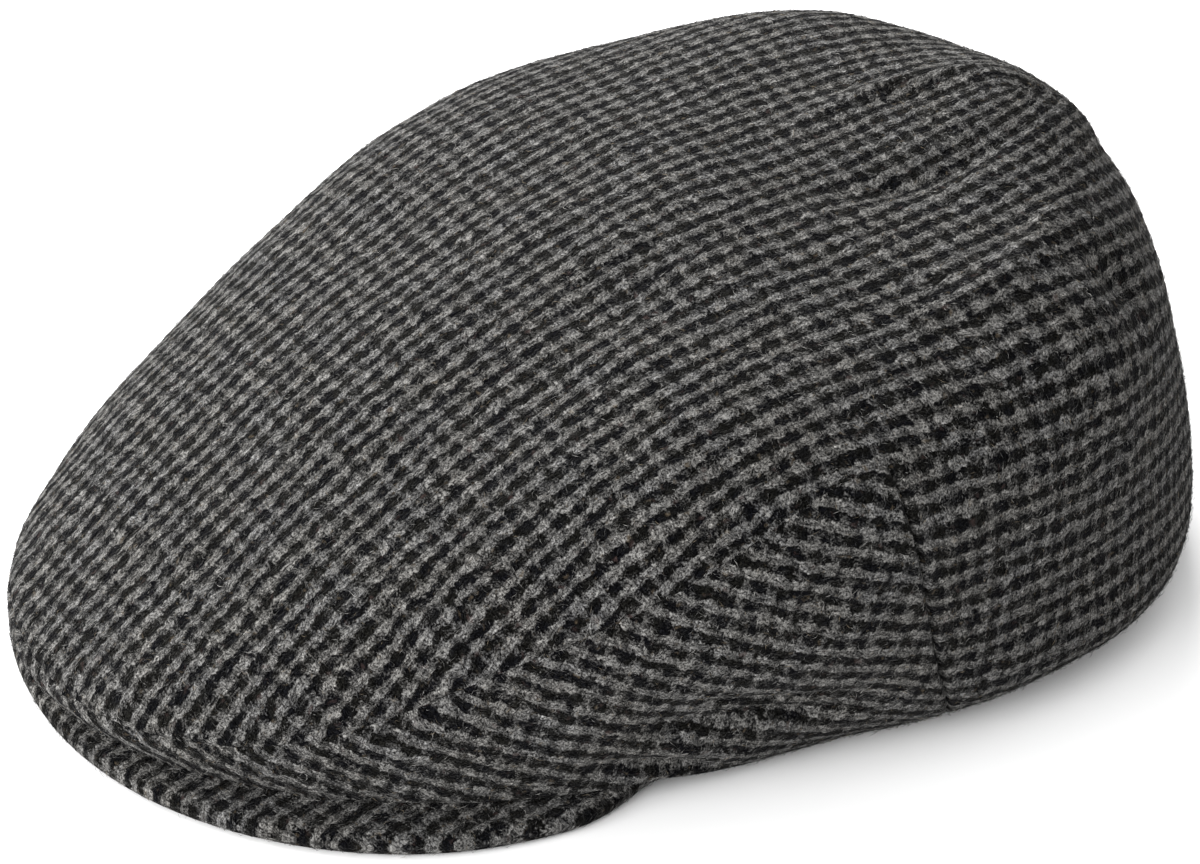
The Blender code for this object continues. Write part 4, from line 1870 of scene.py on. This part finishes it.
    @staticmethod
    def cloud(name: str, points: Array, tone: Array) -> bpy.types.Object:
        """One object of all the fibres, with each fibre's colour as an attribute.

        Args:
            name: the object's name.
            points: five points for each fibre: its two tips and three round its middle.
            tone: each fibre's colour.

        Returns:
            The new object.
        """
        count = len(points)
        shape = np.array([(0, 1, 2), (0, 2, 3), (0, 3, 1), (4, 2, 1), (4, 3, 2), (4, 1, 3)])
        faces = (np.arange(count)[:, None, None] * 5 + shape).reshape(-1, 3)
        mesh = bpy.data.meshes.new(name)
        mesh.vertices.add(count * 5)
        mesh.vertices.foreach_set("co", points.ravel())
        mesh.loops.add(len(faces) * 3)
        mesh.loops.foreach_set("vertex_index", faces.ravel())
        mesh.polygons.add(len(faces))
        mesh.polygons.foreach_set("loop_start", np.arange(len(faces)) * 3)
        mesh.update(calc_edges=True)
        mesh.shade_smooth()
        colours = np.ones((count, 5, 4))
        colours[..., :3] = tone[:, None]
        attribute = mesh.attributes.new("tone", "FLOAT_COLOR", "POINT")
        attribute.data.foreach_set("color", colours.ravel())
        item = bpy.data.objects.new(name, mesh)
        bpy.context.scene.collection.objects.link(item)
        return item

    @staticmethod
    def dark_share(mesh: bpy.types.Mesh, outer: Array, pick: Array, share: Array) -> Array:
        """How dark the yarn under each fibre's root is.

        Args:
            mesh: the panel's mesh.
            outer: which of its triangles are on the outside.
            pick: the outer triangle of each root.
            share: each root's place in its triangle.

        Returns:
            A share from 0 to 1 for each root.
        """
        loops = np.zeros(len(mesh.loop_triangles) * 3, int)
        mesh.loop_triangles.foreach_get("loops", loops)
        flat = np.zeros(len(mesh.loops) * 2)
        mesh.uv_layers["cloth"].data.foreach_get("uv", flat)
        corner = flat.reshape(-1, 2)[loops.reshape(-1, 3)[outer][pick]]
        place = (corner[:, 0] + share[:, :1] * (corner[:, 1] - corner[:, 0])
                 + share[:, 1:] * (corner[:, 2] - corner[:, 0]))
        column, row = (place / (TweedFinish.row_yarn, TweedFinish.column_yarn)).T
        start, finish = TweedFinish.dark_run
        row_dark, column_dark = (ease((np.sin(yarns * math.pi / 2) - start) / (finish - start))
                                 for yarns in (row, column))
        row_over = (np.floor(row) + np.floor(column)) % 4 < 2
        block = row_dark * column_dark
        return (block + (row_dark - block) * np.where(row_over, *ROW_DARKS)
                + (column_dark - block) * np.where(row_over, *COLUMN_DARKS[::-1]))

    def outer_faces(self, panel: bpy.types.Object, spots: Array, trios: Array) -> Array:
        """Which triangles are on a panel's outside, or on top of the peak.

        Args:
            panel: the finished panel.
            spots: its points.
            trios: its triangles.

        Returns:
            One true or false for each triangle.
        """
        if "outer_points" in panel:
            return (trios < panel["outer_points"]).all(1)
        one, two, three = spots[trios].transpose(1, 0, 2)
        normal = np.cross(two - one, three - one)
        return normal[:, 2] > self.lowest_lean * np.linalg.norm(normal, axis=1)


@dataclass
class Studio:
    """Plain pale floor, soft light and the camera at the picture's angle."""

    frame_width: float = 1200.0
    focal: float = 6240.7
    sensor: float = 36.0
    azimuth: float = math.radians(67.33)
    elevation: float = math.radians(33.06)
    distance: float = 1.360
    target_height: float = 0.050
    aside: float = -0.00047
    above: float = -0.01127
    floor_size: float = 6.0
    floor_gap: float = 0.0002
    clip: tuple[float, float] = (0.05, 50.0)
    surround: float = 1.02
    # name, direction and height in degrees, distance, size, watts
    lights: tuple = (("front_light", 18, 17, 2.2, 1.6, 89.0),
                     ("back_light", 262, 20, 2.2, 1.6, 126.0),
                     ("far_light", 318, 20, 2.2, 1.2, 32.0))

    def axes(self) -> tuple[Array, Array, Array]:
        """The camera's right, up and back directions.

        Returns:
            Three unit vectors.
        """
        turn, rise = self.azimuth, self.elevation
        back = np.array([math.sin(turn) * math.cos(rise), -math.cos(turn) * math.cos(rise),
                         math.sin(rise)])
        right = np.array([math.cos(turn), math.sin(turn), 0.0])
        return right, np.cross(back, right), back

    def camera(self) -> bpy.types.Object:
        """Camera at the picture's angle, distance and framing.

        Returns:
            The camera.
        """
        right, up, back = self.axes()
        data = bpy.data.cameras.new("picture_camera")
        data.sensor_fit = "HORIZONTAL"
        data.sensor_width = self.sensor
        data.lens = self.focal / self.frame_width * self.sensor
        data.clip_start, data.clip_end = self.clip
        item = bpy.data.objects.new("picture_camera", data)
        bpy.context.scene.collection.objects.link(item)
        turn = Matrix([list(row) for row in np.stack((right, up, back), 1)]).to_4x4()
        place = (np.array([0, 0, self.target_height]) + right * self.aside + up * self.above
                 + back * self.distance)
        turn.translation = place
        item.matrix_world = turn
        bpy.context.scene.camera = item
        return item

    def light(self, name: str, azimuth: float, elevation: float, distance: float,
              size: float, power: float) -> bpy.types.Object:
        """Soft square light that faces the cap.

        Args:
            name: the light's name.
            azimuth: its direction round the cap, in degrees, as the camera's.
            elevation: its height over the floor, in degrees.
            distance: how far off it stands.
            size: the length of its side.
            power: its power in watts.

        Returns:
            The light.
        """
        turn, rise = math.radians(azimuth), math.radians(elevation)
        back = Vector((math.sin(turn) * math.cos(rise), -math.cos(turn) * math.cos(rise),
                       math.sin(rise)))
        data = bpy.data.lights.new(name, "AREA")
        data.shape = "SQUARE"
        data.size = size
        data.energy = power
        item = bpy.data.objects.new(name, data)
        bpy.context.scene.collection.objects.link(item)
        item.location = back * distance + Vector((0, 0, self.target_height))
        item.rotation_euler = back.to_track_quat("Z", "Y").to_euler()
        return item

    def build(self) -> None:
        """Make the floor, the lights, the pale surround and the camera."""
        Workbench.deselect()
        bpy.ops.mesh.primitive_plane_add(size=self.floor_size, location=(0, 0, -self.floor_gap))
        floor = bpy.context.object
        floor.name = floor.data.name = "studio_floor"
        floor.data.materials.append(FloorFinish().material("studio_floor"))
        self.camera()
        for row in self.lights:
            self.light(*row)
        world = bpy.data.worlds.new("studio")
        world.use_nodes = True
        backdrop = world.node_tree.nodes["Background"]
        backdrop.inputs["Color"].default_value = (1, 1, 1, 1)
        backdrop.inputs["Strength"].default_value = self.surround
        bpy.context.scene.world = world
        bpy.context.scene.view_settings.view_transform = "Standard"


def main() -> None:
    """Dress the frame and set up its picture."""
    logging.basicConfig(level=logging.INFO, format="%(message)s")
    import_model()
    form = CapForm()
    shift = form.middle(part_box("crown_top")[1][1])
    LOG.info("crown middle at y %.5f", shift)
    tweed = TweedFinish()
    cloth = tweed.material("tweed")
    wool = FibreFinish().material("loose_fibres")
    fuzz = Fuzz()
    seams = [form.front_seam_line() * (hand.value, 1, 1) + (0, shift, 0) for hand in Hand]
    for part in (TopPanel(form), SidePanel(form, hand=Hand.LEFT),
                 SidePanel(form, hand=Hand.RIGHT), Peak(form)):
        is_peak = isinstance(part, Peak)
        finish = tweed.material("peak_tweed") if is_peak else cloth
        item = part.build(shift, finish)
        made = [item]
        slot = "peak_tweed" if is_peak else "tweed"
        halves = ((1, "_left"), (-1, "_right")) if isinstance(part, TopPanel) else ((0, ""),)
        for side, ending in halves:
            title = item.name.replace("tweed_", "fuzz_") + ending
            made.append(fuzz.build(title, item, slot, wool, seams, side))
        for piece in made:
            LOG.info("%s: %d faces", piece.name, len(piece.data.polygons))
    Studio().build()


if __name__ == "__main__":
    main()
